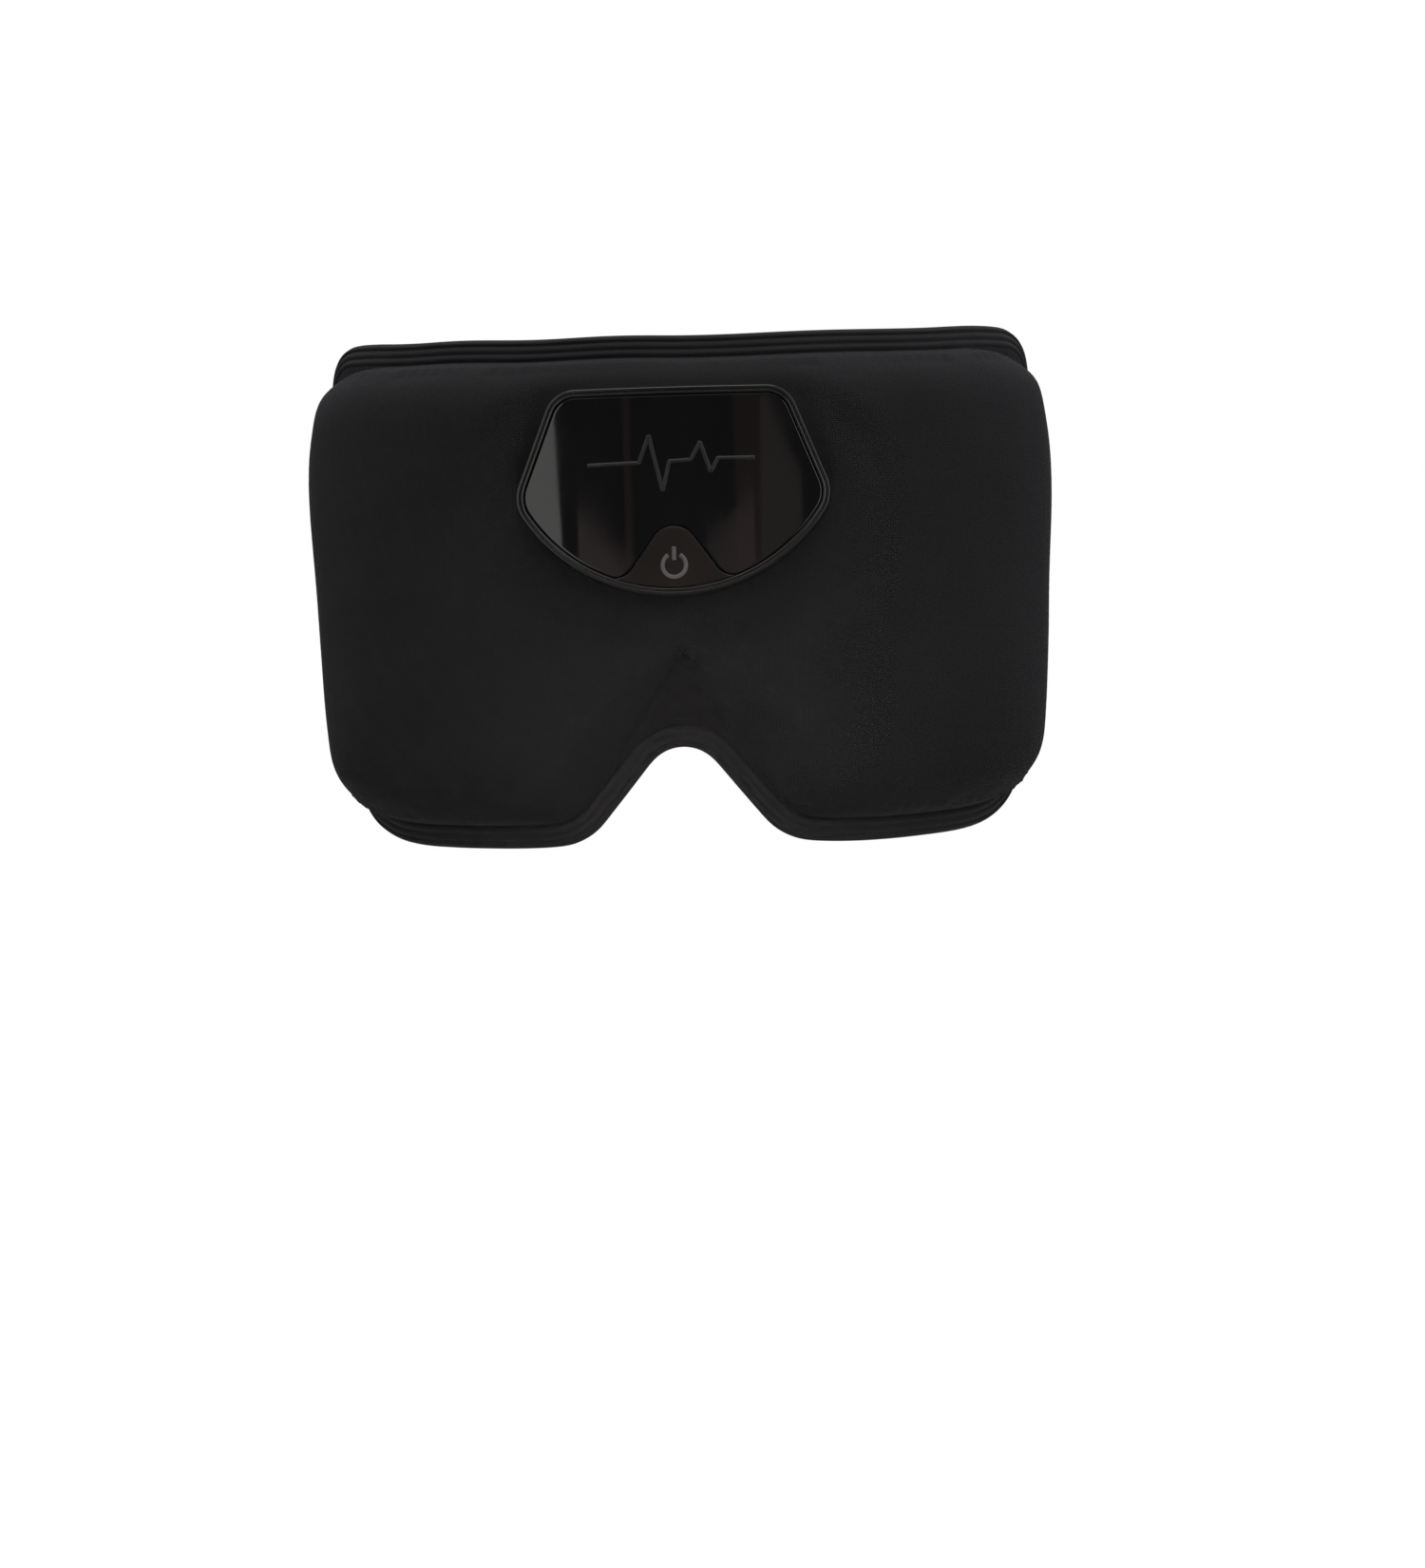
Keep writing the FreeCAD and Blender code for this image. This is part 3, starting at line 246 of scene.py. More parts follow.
def ripple(points, scale, seed, stretch=1.0):
    """Smooth unevenness between about -1 and 1; stretch lengthens it sideways."""
    rng = np.random.default_rng(seed)
    p = points / np.array([scale * stretch, scale])
    total = np.zeros(len(points))
    for _ in range(14):
        turn = rng.uniform(0, 2 * math.pi)
        wave = rng.uniform(0.6, 1.4) * 2 * math.pi
        total += np.cos(wave * (p[:, 0] * math.cos(turn) + p[:, 1] * math.sin(turn)) + rng.uniform(0, 6.28))
    return total / 5.0


def wrapped(points, radius):
    """Points of the soft body: u, z and radius to x, y, z."""
    turn = points[:, 0] / FLANGE
    return np.stack([radius * np.sin(turn), FACE - radius * np.cos(turn), points[:, 1]], 1)


def pressed(points, radius):
    """Points of the control module: x, z and radius to x, y, z, straight along Y."""
    x = points[:, 0]
    return np.stack([x, FACE - np.sqrt(radius ** 2 - x ** 2), points[:, 1]], 1)


def make(name, verts, faces, uv=None, smooth=True):
    """A mesh object from points in millimetres; uv gives a map position for each vertex, in millimetres."""
    mesh = bpy.data.meshes.new(name)
    mesh.from_pydata((np.asarray(verts) * 0.001).tolist(), [], [list(map(int, f)) for f in faces])
    if uv is not None:
        layer = mesh.uv_layers.new(name="UVMap")
        corner = np.empty(len(mesh.loops), np.int64)
        mesh.loops.foreach_get("vertex_index", corner)
        layer.data.foreach_set("uv", (np.asarray(uv)[corner] * 0.001).astype(np.float32).ravel())
    if smooth:
        mesh.polygons.foreach_set("use_smooth", [True] * len(mesh.polygons))
    mesh.update()
    thing = bpy.data.objects.new(name, mesh)
    bpy.context.scene.collection.objects.link(thing)
    return thing


def hex_grid(low, high, step):
    """Points of even triangles over a rectangle."""
    rows = np.arange(low[1], high[1] + step, step * 0.866)
    cols = np.arange(low[0] - step, high[0] + step, step)
    x, z = np.meshgrid(cols, rows)
    x = x + np.where(np.arange(len(rows)) % 2, step / 2, 0)[:, None]
    return np.stack([x.ravel(), z.ravel()], 1)


def headings(line):
    """The direction of an open line at each of its points."""
    along = np.gradient(line, axis=0)
    return along / np.hypot(*along.T)[:, None]


def quads(rows, size, closed=False, base=0):
    """Faces between rows of points, each row a closed ring; closed joins the last row to the first."""
    faces = []
    for row in range(rows if closed else rows - 1):
        near = base + row * size
        far = base + (row + 1) % rows * size
        faces += [[near + k, near + (k + 1) % size, far + (k + 1) % size, far + k] for k in range(size)]
    return faces


def compact(flat, tris, *fields):
    """The same triangles without the points that none of them uses."""
    used = np.unique(tris)
    renumber = np.full(len(flat), -1)
    renumber[used] = np.arange(len(used))
    return flat[used], renumber[tris], [field[used] for field in fields]


def triangulated(loops, others, merge, wanted):
    """Triangles over closed loops and other points, where wanted says so of a triangle's middle."""
    start, edges = 0, []
    for loop in loops:
        index = np.arange(len(loop)) + start
        edges += list(zip(index.tolist(), np.roll(index, -1).tolist()))
        start += len(loop)
    cloud = np.concatenate(list(loops) + list(others))
    verts, _, faces, _, _, _ = delaunay_2d_cdt([Vector(p) for p in cloud.tolist()], edges, [], 0, merge)
    flat = np.array([[v.x, v.y] for v in verts])
    tris = np.array([f for f in faces if len(f) == 3], np.int64)
    tris = tris[wanted(flat[tris].mean(1))]
    a, b, c = flat[tris[:, 0]], flat[tris[:, 1]], flat[tris[:, 2]]
    area = (b[:, 0] - a[:, 0]) * (c[:, 1] - a[:, 1]) - (b[:, 1] - a[:, 1]) * (c[:, 0] - a[:, 0])
    tris = tris[np.abs(area) > SLIVER]
    area = area[np.abs(area) > SLIVER]
    tris[area < 0] = tris[area < 0][:, ::-1]
    return compact(flat, tris)[:2]


def patch(outer, holes, step, edge_rings, hole_rings=(0.0,), creases=()):
    """Triangles that fill an outline: rings of points near its edges, rows along any creases and an even
    grid inside."""
    fixed = [outer] + list(holes)
    points = [grown(outer, -amount) for amount in edge_rings[1:]]
    for hole in holes:
        points += [grown(hole, amount) for amount in hole_rings[1:]]
    grid = hex_grid(outer.min(0), outer.max(0), step)
    clear = within(grid, outer) & (away(grid, outer) > edge_rings[-1] + 0.55 * step)
    for row in creases:
        clear &= away(grid, np.concatenate([row, row[-2:0:-1]])) > 0.5 * step
        points.append(row[depth(row, outer) > edge_rings[-1] + 0.25])
    for hole in holes:
        clear &= ~within(grid, hole) & (away(grid, hole) > hole_rings[-1] + 0.55 * step)
    rings = np.concatenate(points) if points else np.empty((0, 2))

    def wanted(spots):
        return within(spots, outer) & ~np.any([within(spots, hole) for hole in holes], axis=0)

    if len(holes) and len(rings):
        rings = rings[wanted(rings)]
    return triangulated(fixed, [rings, grid[clear]], 1e-7, wanted)


def rim_edges(tris):
    """The directed edges that only one triangle has."""
    edges = np.concatenate([tris[:, [0, 1]], tris[:, [1, 2]], tris[:, [2, 0]]])
    size = tris.max() + 1
    code = edges[:, 0] * size + edges[:, 1]
    back = edges[:, 1] * size + edges[:, 0]
    return edges[~np.isin(code, back)]


def plate(name, flat, tris, top, bottom, place=wrapped):
    """A closed shell between two surfaces over the same triangles."""
    count = len(flat)
    verts = np.concatenate([place(flat, top), place(flat, bottom)])
    faces = tris.tolist() + (tris[:, ::-1] + count).tolist()
    faces += [[a, a + count, b + count, b] for a, b in rim_edges(tris).tolist()]
    return make(name, verts, faces, uv=np.concatenate([flat, flat]))


def eased_field(tris, field, rounds, weight):
    """A value on each vertex drawn towards its neighbours' average, by a weight on each vertex."""
    pairs = np.concatenate([tris[:, [0, 1]], tris[:, [1, 2]], tris[:, [2, 0]]])
    pairs = np.concatenate([pairs, pairs[:, ::-1]])
    count = np.bincount(pairs[:, 0], minlength=len(field))
    for _ in range(rounds):
        total = np.bincount(pairs[:, 0], weights=field[pairs[:, 1]], minlength=len(field))
        field = field + weight * (total / count - field)
    return field


# ---------------------------------------------------------------- materials

class Nodes:
    """The node tree of a material or world, with one call for each kind of node it needs."""

    def __init__(self, owner):
        self.owner = owner
        owner.use_nodes = True
        self.tree = owner.node_tree
        self.shader = self.tree.nodes.get("Principled BSDF")

    def add(self, kind, **settings):
        node = self.tree.nodes.new(kind)
        for key, value in settings.items():
            setattr(node, key, value)
        return node

    def join(self, source, target):
        if isinstance(source, (int, float, tuple)):
            target.default_value = source
        else:
            self.tree.links.new(source, target)

    def math(self, kind, a, b=0.0, c=0.0):
        node = self.add("ShaderNodeMath", operation=kind)
        for value, socket in zip((a, b, c), node.inputs):
            self.join(value, socket)
        return node.outputs[0]

    def place(self, scale=(1, 1, 1), turn=0.0, uv=True):
        coordinates = self.add("ShaderNodeTexCoord")
        mapping = self.add("ShaderNodeMapping")
        mapping.inputs["Scale"].default_value = scale
        mapping.inputs["Rotation"].default_value = (0, 0, turn)
        self.join(coordinates.outputs["UV" if uv else "Object"], mapping.inputs["Vector"])
        return mapping.outputs[0]

    def noise(self, where, scale, detail=3.0, rough=0.55):
        node = self.add("ShaderNodeTexNoise")
        self.join(where, node.inputs["Vector"])
        node.inputs["Scale"].default_value = scale
        node.inputs["Detail"].default_value = detail
        node.inputs["Roughness"].default_value = rough
        return node.outputs["Fac"]

    def split(self, vector):
        node = self.add("ShaderNodeSeparateXYZ")
        self.join(vector, node.inputs[0])
        return node.outputs

    def blend(self, factor, low, high):
        node = self.add("ShaderNodeMix", data_type="RGBA")
        self.join(factor, node.inputs["Factor"])
        node.inputs["A"].default_value = (*low, 1)
        node.inputs["B"].default_value = (*high, 1)
        return node.outputs["Result"]

    def span(self, value, low, high, out_low, out_high, kind="LINEAR"):
        node = self.add("ShaderNodeMapRange", interpolation_type=kind)
        self.join(value, node.inputs["Value"])
        limits = {"From Min": low, "From Max": high, "To Min": out_low, "To Max": out_high}
        for key, number in limits.items():
            node.inputs[key].default_value = number
        return node.outputs[0]

    def bump(self, height, distance, strength=1.0):
        node = self.add("ShaderNodeBump")
        self.join(height, node.inputs["Height"])
        node.inputs["Distance"].default_value = distance
        node.inputs["Strength"].default_value = strength
        self.join(node.outputs[0], self.shader.inputs["Normal"])

    def set(self, **values):
        for key, value in values.items():
            self.join(value, self.shader.inputs[key.replace("_", " ")])
        return self.owner


def painted(name):
    """The node tree of a new material."""
    return Nodes(bpy.data.materials.new(name))


def knit(name, low, high, pitch, sheen, depth_mm, uv=True, fuzz=0.35):
    """Fine jersey: slanted loops in columns, with a soft sheen and a little uneven dye."""
    n = painted(name)
    where = n.place((1000.0 / pitch,) * 3, uv=uv)
    x, y, _ = n.split(where)
    drift = n.noise(n.place((1, 1, 1), uv=uv), 260.0, 2.0)
    x = n.math("ADD", x, n.math("MULTIPLY", drift, 0.9))
    y = n.math("ADD", n.math("MULTIPLY", y, 1.25), n.math("MULTIPLY", drift, 0.7))
    column = n.math("ABSOLUTE", n.math("SINE", n.math("MULTIPLY", x, math.pi)))
    lean = n.math("MULTIPLY", n.math("PINGPONG", x, 0.5), 0.9)
    loop = n.math("ABSOLUTE", n.math("SINE", n.math("MULTIPLY", n.math("ADD", y, lean), math.pi)))
    weave = n.math("MULTIPLY", n.math("POWER", column, 0.6), loop)
    fibre = n.noise(n.place((1, 1, 1), uv=uv), 5200.0, 2.0, 0.7)
    patchy = n.noise(n.place((1, 0.6, 1), uv=uv), 55.0, 4.0)
    height = n.math("ADD", weave, n.math("MULTIPLY", fibre, fuzz))
    tone = n.math("ADD", n.math("MULTIPLY", weave, 0.55), n.math("MULTIPLY", patchy, 0.5))
    n.bump(height, depth_mm * 0.001)
    return n.set(Base_Color=n.blend(tone, low, high),
                 Roughness=n.span(fibre, 0.2, 0.8, 0.78, 0.96),
                 Sheen_Weight=sheen, Sheen_Roughness=0.38, Sheen_Tint=(0.86, 0.89, 1.0, 1),
                 Specular_IOR_Level=0.10)


def webbing(name, low, high, rib, pick, sheen):
    """Elastic webbing: cords along its length crossed by fine picks."""
    n = painted(name)
    x, y, _ = n.split(n.place((1000.0, 1000.0, 1000.0)))
    cord = n.math("ABSOLUTE", n.math("SINE", n.math("MULTIPLY", y, math.pi / rib)))
    which = n.math("FLOOR", n.math("DIVIDE", y, rib))
    shift = n.math("MULTIPLY", n.math("MODULO", which, 2.0), 0.5)
    over = n.math("ABSOLUTE", n.math("SINE", n.math("MULTIPLY", n.math(
        "ADD", n.math("DIVIDE", x, pick), shift), math.pi)))
    fibre = n.noise(n.place((1, 1, 1)), 4200.0, 2.0, 0.7)
    weave = n.math("MULTIPLY", n.math("POWER", cord, 0.5), n.math("POWER", over, 0.5))
    worn = n.noise(n.place((1, 1, 1)), 90.0, 3.0)
    n.bump(n.math("ADD", weave, n.math("MULTIPLY", fibre, 0.25)), 0.00016)
    return n.set(Base_Color=n.blend(n.math("MULTIPLY", n.math("ADD", weave, worn), 0.5), low, high),
                 Roughness=n.span(fibre, 0.2, 0.8, 0.7, 0.9),
                 Sheen_Weight=sheen, Sheen_Roughness=0.4, Sheen_Tint=(0.85, 0.88, 1.0, 1),
                 Specular_IOR_Level=0.3)


def moulded(name, low, high, rough_low, rough_high, grain=0.02, grain_scale=1500.0, coat=0.0, metal=0.0,
           gloss=0.5):
    """Moulded plastic, rubber or metal: fine grain and slightly uneven gloss."""
    n = painted(name)
    where = n.place(uv=False)
    fine = n.noise(where, grain_scale, 2.0, 0.6)
    broad = n.noise(where, 70.0, 4.0, 0.6)
    n.bump(n.math("ADD", fine, n.math("MULTIPLY", broad, 0.4)), grain * 0.001)
    return n.set(Base_Color=n.blend(broad, low, high),
                 Roughness=n.span(n.math("MULTIPLY", n.math("ADD", fine, broad), 0.5), 0.3, 0.7,
                                  rough_low, rough_high),
                 Coat_Weight=coat, Coat_Roughness=0.08, Metallic=metal, Specular_IOR_Level=gloss)


def foam(name, low, high):
    """Open-cell foam: small pores."""
    n = painted(name)
    cells = n.add("ShaderNodeTexVoronoi")
    cells.inputs["Scale"].default_value = 900.0
    n.join(n.place(uv=False), cells.inputs["Vector"])
    pore = n.span(cells.outputs["Distance"], 0.0, 0.6, 0.0, 1.0)
    n.bump(pore, 0.0002)
    return n.set(Base_Color=n.blend(pore, low, high), Roughness=0.95)


def polished(name):
    """The smoked window: near-black gloss with faint handling marks."""
    n = painted(name)
    where = n.place(uv=False)
    smear = n.noise(n.place((1, 1, 0.35), uv=False), 130.0, 5.0, 0.65)
    waves = n.noise(where, 38.0, 1.0, 0.4)
    n.bump(waves, 0.00005, 0.5)
    return n.set(Base_Color=n.blend(smear, (0.0010, 0.0010, 0.0012), (0.0022, 0.0021, 0.0023)),
                 Roughness=n.span(smear, 0.35, 0.75, 0.035, 0.10), IOR=1.52)


def brushed(name, low, high, rough, scale=(1, 1, 40)):
    """Plated or turned metal with fine lines."""
    n = painted(name)
    lines = n.noise(n.place(scale, uv=False), 600.0, 3.0, 0.6)
    n.bump(lines, 0.00001)
    return n.set(Base_Color=n.blend(lines, low, high), Metallic=1.0,
                 Roughness=n.span(lines, 0.3, 0.7, rough * 0.8, rough * 1.2))


def banded(name, low, high, scale, axis="Z", metal=0.0):
    """Wound, printed or wrapped parts: fine regular lines."""
    n = painted(name)
    lines = n.add("ShaderNodeTexWave", wave_type="BANDS", bands_direction=axis)
    lines.inputs["Scale"].default_value = scale
    lines.inputs["Distortion"].default_value = 1.5
    n.join(n.place(uv=False), lines.inputs["Vector"])
    n.bump(lines.outputs["Fac"], 0.00003)
    return n.set(Base_Color=n.blend(lines.outputs["Fac"], low, high), Roughness=0.5, Metallic=metal)


COVER = knit("cover_knit", (0.0040, 0.0040, 0.0044), (0.0094, 0.0094, 0.0102), 0.55, 0.03, 0.10)
# The pressed border's knit is finer and has more sheen, as a pressed edge has. Its colour is also lighter
# than the dome's knit: painted light that makes up for the shade the dome's wall throws on the border.
EDGE_KNIT_PAINTED_LIGHT = knit("cover_edge_knit_painted_light", (0.0060, 0.0060, 0.0064), (0.0135, 0.0135, 0.0144), 0.40, 0.05, 0.06)
LINING = knit("lining_knit", (0.012, 0.012, 0.014), (0.030, 0.030, 0.034), 0.8, 0.35, 0.20, fuzz=0.9)
CUP = knit("cup_knit", (0.010, 0.010, 0.012), (0.024, 0.024, 0.027), 0.6, 0.30, 0.12, fuzz=0.6)
WEBBING = webbing("strap_webbing", (0.008, 0.008, 0.009), (0.026, 0.026, 0.029), 1.5, 0.9, 0.2)
THREAD = webbing("thread", (0.012, 0.012, 0.013), (0.035, 0.035, 0.038), 0.2, 0.25, 0.2)
HOUSING = moulded("housing_plastic", (0.0036, 0.0035, 0.0036), (0.0062, 0.0060, 0.0060), 0.17, 0.25, 0.002)
GLOSS = polished("lens_gloss")
BUTTON_SATIN = moulded("button_satin", (0.0040, 0.0033, 0.0030), (0.0062, 0.0052, 0.0047), 0.30, 0.40, 0.004,
                       gloss=0.28)
PRINT = moulded("icon_print", (0.026, 0.026, 0.026), (0.046, 0.045, 0.044), 0.40, 0.55, 0.01)
PULSE = moulded("pulse_print", (0.0034, 0.0034, 0.0035), (0.0066, 0.0064, 0.0064), 0.40, 0.55, 0.004)
SLIDER = moulded("slider_plastic", (0.008, 0.008, 0.009), (0.016, 0.016, 0.017), 0.22, 0.36, 0.008)
ENAMEL = moulded("ring_enamel", (0.010, 0.010, 0.011), (0.018, 0.018, 0.019), 0.18, 0.30, 0.004, coat=0.5)
BY_SLOT = {
    "cover_knit": COVER,
    "lining_fabric": LINING,
    "foam": foam("foam_cells", (0.05, 0.05, 0.055), (0.14, 0.14, 0.15)),
    "strap_webbing": WEBBING,
    "housing_plastic": HOUSING,
    "lens_gloss": GLOSS,
    "button_plastic": BUTTON_SATIN,
    "slider_plastic": SLIDER,
    "ring_metal": ENAMEL,
    "board": banded("board_mask", (0.010, 0.060, 0.028), (0.020, 0.110, 0.050), 130.0, "X"),
    "chip_plastic": moulded("chip_epoxy", (0.012, 0.012, 0.012), (0.03, 0.03, 0.03), 0.45, 0.7, 0.02),
    "lamp_lens": moulded("lamp_lens", (0.6, 0.6, 0.55), (0.85, 0.85, 0.8), 0.1, 0.25, 0.003, coat=0.4),
    "tape": moulded("adhesive_tape", (0.40, 0.38, 0.32), (0.60, 0.57, 0.50), 0.5, 0.8, 0.03),
    "switch_plunger": moulded("plunger_nylon", (0.50, 0.50, 0.47), (0.68, 0.68, 0.65), 0.35, 0.5, 0.01),
    "silicone": moulded("silicone", (0.40, 0.40, 0.40), (0.56, 0.56, 0.56), 0.5, 0.7, 0.01),
    "cell_wrap": brushed("cell_foil", (0.48, 0.50, 0.53), (0.62, 0.64, 0.68), 0.35),
    "steel": brushed("plated_steel", (0.50, 0.50, 0.52), (0.68, 0.68, 0.70), 0.25),
    "heater_film": banded("heater_film", (0.55, 0.27, 0.05), (0.75, 0.42, 0.14), 220.0, "Z"),
    "sensor_bead": moulded("sensor_bead", (0.012, 0.012, 0.016), (0.03, 0.03, 0.036), 0.15, 0.3, 0.005),
    "wire": moulded("wire_silicone", (0.42, 0.016, 0.016), (0.58, 0.04, 0.04), 0.45, 0.6, 0.01),
    "magnet": brushed("magnet_grains", (0.26, 0.26, 0.27), (0.42, 0.42, 0.43), 0.5, (1, 1, 1)),
    "rotor_weight": brushed("rotor_brass", (0.50, 0.38, 0.18), (0.66, 0.52, 0.28), 0.3, (1, 1, 1)),
}


def crisp(thing, angle=38):
    """Shade a hard piece flat across its sharp edges."""
    thing.data.set_sharp_from_angle(angle=math.radians(angle))
    return thing


def finish(thing, material, body, slot, *nodes):
    """Give a piece its material and its body, and hide the CAD nodes it stands for. The slot is not used."""
    thing.data.materials.clear()
    thing.data.materials.append(material)
    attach(thing, body)
    if nodes:
        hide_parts(*nodes)
    return thing


slot_of = {row["node"]: row["material_slot"] for row in frame["record"]["subparts"]}
for node_name, node in frame["nodes"].items():
    node.data.materials.clear()
    node.data.materials.append(BY_SLOT[slot_of[node_name]])


# ---------------------------------------------------------------- the cover

outline = body_outline()
outline = outline + 0.22 * ripple(outline, 34.0, 3)[:, None] * (grown(outline, 1.0) - outline)
module = module_outline()
key = button_outline()


def spread(loop):
    """A module outline, in x and z, as u and z on the cover."""
    return np.stack([FLANGE * np.arcsin(loop[:, 0] / SEAT), loop[:, 1]], 1)


def valley_distance(p):
    """Distance outside the nose valley's V, negative inside it."""
    run = np.array([VALLEY_SIDE[0], VALLEY_SIDE[1] - VALLEY_TOP])
    run /= np.hypot(*run)
    x = np.abs(p[:, 0])
    z = p[:, 1] - VALLEY_TOP
    side = x * -run[1] + z * run[0]
    before = x * run[0] + z * run[1] < 0
    return np.where(before, np.hypot(x, z), side)


CORNER = (104.0, 52.0)
CORNER_SPREAD = (15.0, 19.0)
CORNER_FLAT = 6.5
SLACK_AT = (96.0, 49.0)
SLACK_SPREAD = (23.0, 15.0)
VALLEY_FLOOR = 0.70
CROWN = 1.5
IMPRINT = 2.2
IMPRINT_AT = 19.0
IMPRINT_HALF = (47.0, 33.0)
PRESS_REACH = 5.4


def dome_depth(p, d):
    """Distance inside the dome's foot; the flat border widens at the two upper corners."""
    corner = np.hypot((np.abs(p[:, 0]) - CORNER[0]) / CORNER_SPREAD[0],
                      (p[:, 1] - CORNER[1]) / CORNER_SPREAD[1])
    return d - BORDER - CORNER_FLAT * np.exp(-corner ** 2)


def cover_height(p, d):
    """How far the cover stands out from its flange, before its border is grooved."""
    inner = dome_depth(p, d)
    v = valley_distance(p)
    # The dome, slack towards its upper corners, and the nose valley's shallower floor and steep walls.
    slack = np.exp(-((np.abs(p[:, 0]) - SLACK_AT[0]) / SLACK_SPREAD[0]) ** 2
                   - ((p[:, 1] - SLACK_AT[1]) / SLACK_SPREAD[1]) ** 2)
    dome = DOME_RISE * swell(inner / DOME_EDGE) * (1 - 0.25 * slack)
    floor = np.minimum(DOME_RISE * VALLEY_FLOOR * np.clip(inner / 16.5, 0, 1) ** 0.9, dome)
    wall = swell(v / (6.5 + 4.0 * ramp(-p[:, 1], 15, 40)))
    h = floor + (dome - floor) * wall + CROWN * ramp(np.minimum(inner, v + 6), 9, 40) * wall
    # The shallow hollow that the filling's edge prints round the control module.
    imprint = np.hypot(p[:, 0] / IMPRINT_HALF[0], (p[:, 1] - IMPRINT_AT) / IMPRINT_HALF[1])
    h = h - IMPRINT * (1 - ramp(imprint, 0.87, 1.04)) * ramp(inner, 2, 10)
    # The knit is pressed down to its seat under the module's rim.
    spot = np.stack([MODULE_SPREAD * np.sin(p[:, 0] / FLANGE), p[:, 1]], 1)
    press = np.exp(-(np.clip(-depth(spot, module), 0, None) / PRESS_REACH) ** 1.5)
    return h * (1 - press) + np.minimum(h, SEAT - FLANGE) * press


def carried(points, known, values, count, share_of):
    """Values at some points from the nearest known ones; share_of turns their distances into weights."""
    tree = kdtree.KDTree(len(known))
    for k, (u, z) in enumerate(known.tolist()):
        tree.insert((u, z, 0.0), k)
    tree.balance()
    out = np.empty(len(points))
    for k, (u, z) in enumerate(points.tolist()):
        near = tree.find_n((u, z, 0.0), count)
        share = share_of(np.array([gap for _, _, gap in near]))
        out[k] = (share * values[[i for _, i, _ in near]]).sum() / share.sum()
    return out


def swollen_by(outer, holes, radius_at, held_at, points, cap, facing=1):
    """How far the cloth over the filling stands out at some points, found by a cloth simulation.

    A coarse copy of the sheet is held along its seams, pushed from behind by the filling and drawn in a
    little; its movement is capped and read off at the points.
    """
    coarse, faces = patch(spaced(outer, COARSE), [spaced(loop, COARSE) for loop in holes], COARSE, (0.0,))
    radius = radius_at(coarse)
    sheet = make("swelling", wrapped(coarse, radius), faces if facing > 0 else faces[:, ::-1])
    held = sheet.vertex_groups.new(name="held")
    edge = np.minimum.reduce([away(coarse, loop) for loop in [outer] + holes])
    for k, share in enumerate(np.where(edge < 0.5, 1.0, held_at(coarse)).tolist()):
        held.add([k], share, "REPLACE")
    cloth = sheet.modifiers.new("cloth", "CLOTH")
    cloth.settings.quality = 6
    cloth.settings.mass = 0.2
    cloth.settings.tension_stiffness = 4
    cloth.settings.compression_stiffness = 4
    cloth.settings.shear_stiffness = 2
    cloth.settings.bending_stiffness = 0.6
    cloth.settings.shrink_min = 0.004
    cloth.settings.use_pressure = True
    cloth.settings.uniform_pressure_force = 14.0
    cloth.settings.vertex_group_mass = "held"
    cloth.settings.effector_weights.gravity = 0
    for frame_number in range(1, 21):
        bpy.context.scene.frame_set(frame_number)
    solved = sheet.evaluated_get(bpy.context.evaluated_depsgraph_get())
    spot = np.empty(len(solved.data.vertices) * 3)
    solved.data.vertices.foreach_get("co", spot)
    spot = spot.reshape(-1, 3) * 1000
    moved = np.clip(np.hypot(spot[:, 0], FACE - spot[:, 1]) - radius, -cap, cap)
    bpy.context.scene.frame_set(1)
    bpy.data.objects.remove(sheet)
    return carried(points, coarse, moved, 6, lambda gap: np.exp(-gap ** 2 / 14.0) + 1e-9)


GROOVES = (1.5, 3.3, 5.0)
GROOVE_DEEP = 0.30
GROOVE_WIDE = 0.22
RIDGE = 0.28
edge_rings = [0.0, 0.12, 0.35, 0.7] + [round(1.0 + 0.27 * k, 3) for k in range(22)]
hole = spaced(grown(spread(module), -3.0), 0.9)
steep = math.atan2(VALLEY_TOP - VALLEY_SIDE[1], VALLEY_SIDE[0])
past = 4.0
valley_rows = []
for gap in (-1.2, -0.55, 0.0, 0.45, 1.0, 1.7, 2.6, 3.6):
    lift = gap / math.cos(steep)
    low = (VALLEY_SIDE[0] + past, VALLEY_SIDE[1] + lift - past * math.tan(steep))
    row = np.array([(-low[0], low[1]), (0.0, VALLEY_TOP + lift), low])
    valley_rows.append(spaced(row, OUTLINE_STEP, closed=False))
flat, tris = patch(outline, [hole], COVER_STEP, edge_rings, (0.0, 0.8), valley_rows)
d = away(flat, outline)
inner = dome_depth(flat, d)
height = cover_height(flat, d)
inside = ramp(inner, 0.1, 2.4)
crease = 1 - 0.65 * np.exp(-(valley_distance(flat) / 1.6) ** 2) * ramp(-flat[:, 1], -VALLEY_TOP, 24)
height = eased_field(tris, height, 9, 0.55 * inside * crease)
dome_share = ramp(inner, 3, 16)
height += swollen_by(outline, [hole], lambda p: FLANGE + cover_height(p, away(p, outline)),
                     lambda p: 1 - 0.9 * ramp(dome_depth(p, away(p, outline)), 0, 9), flat, 1.4) * dome_share
height += dome_share * (0.16 * ripple(flat, 26.0, 11) + 0.035 * ripple(flat, 4.5, 5, 3.2))
smooth_height = height.copy()
for groove in GROOVES:
    deep = GROOVE_DEEP + 0.06 * ripple(flat, 22.0, int(groove * 10))
    height = height - deep * np.exp(-((d - groove) / GROOVE_WIDE) ** 2)
for low, high in zip((0.3,) + GROOVES, GROOVES):
    across = np.clip((d - low) / (high - low), 0, 1)
    height += RIDGE * np.sin(math.pi * across) ** 2 * ((d > low) & (d < high))
height += 0.10 * ripple(flat, 9.0, 21) * (1 - inside) * ramp(d, 0.5, 1.2)
rim_turn = 1 - swell(d / 0.8)
roll = 1.1 * rim_turn + 1.7 * (1 - np.clip(d / BORDER, 0, 1)) ** 1.3
top = FLANGE + height - roll
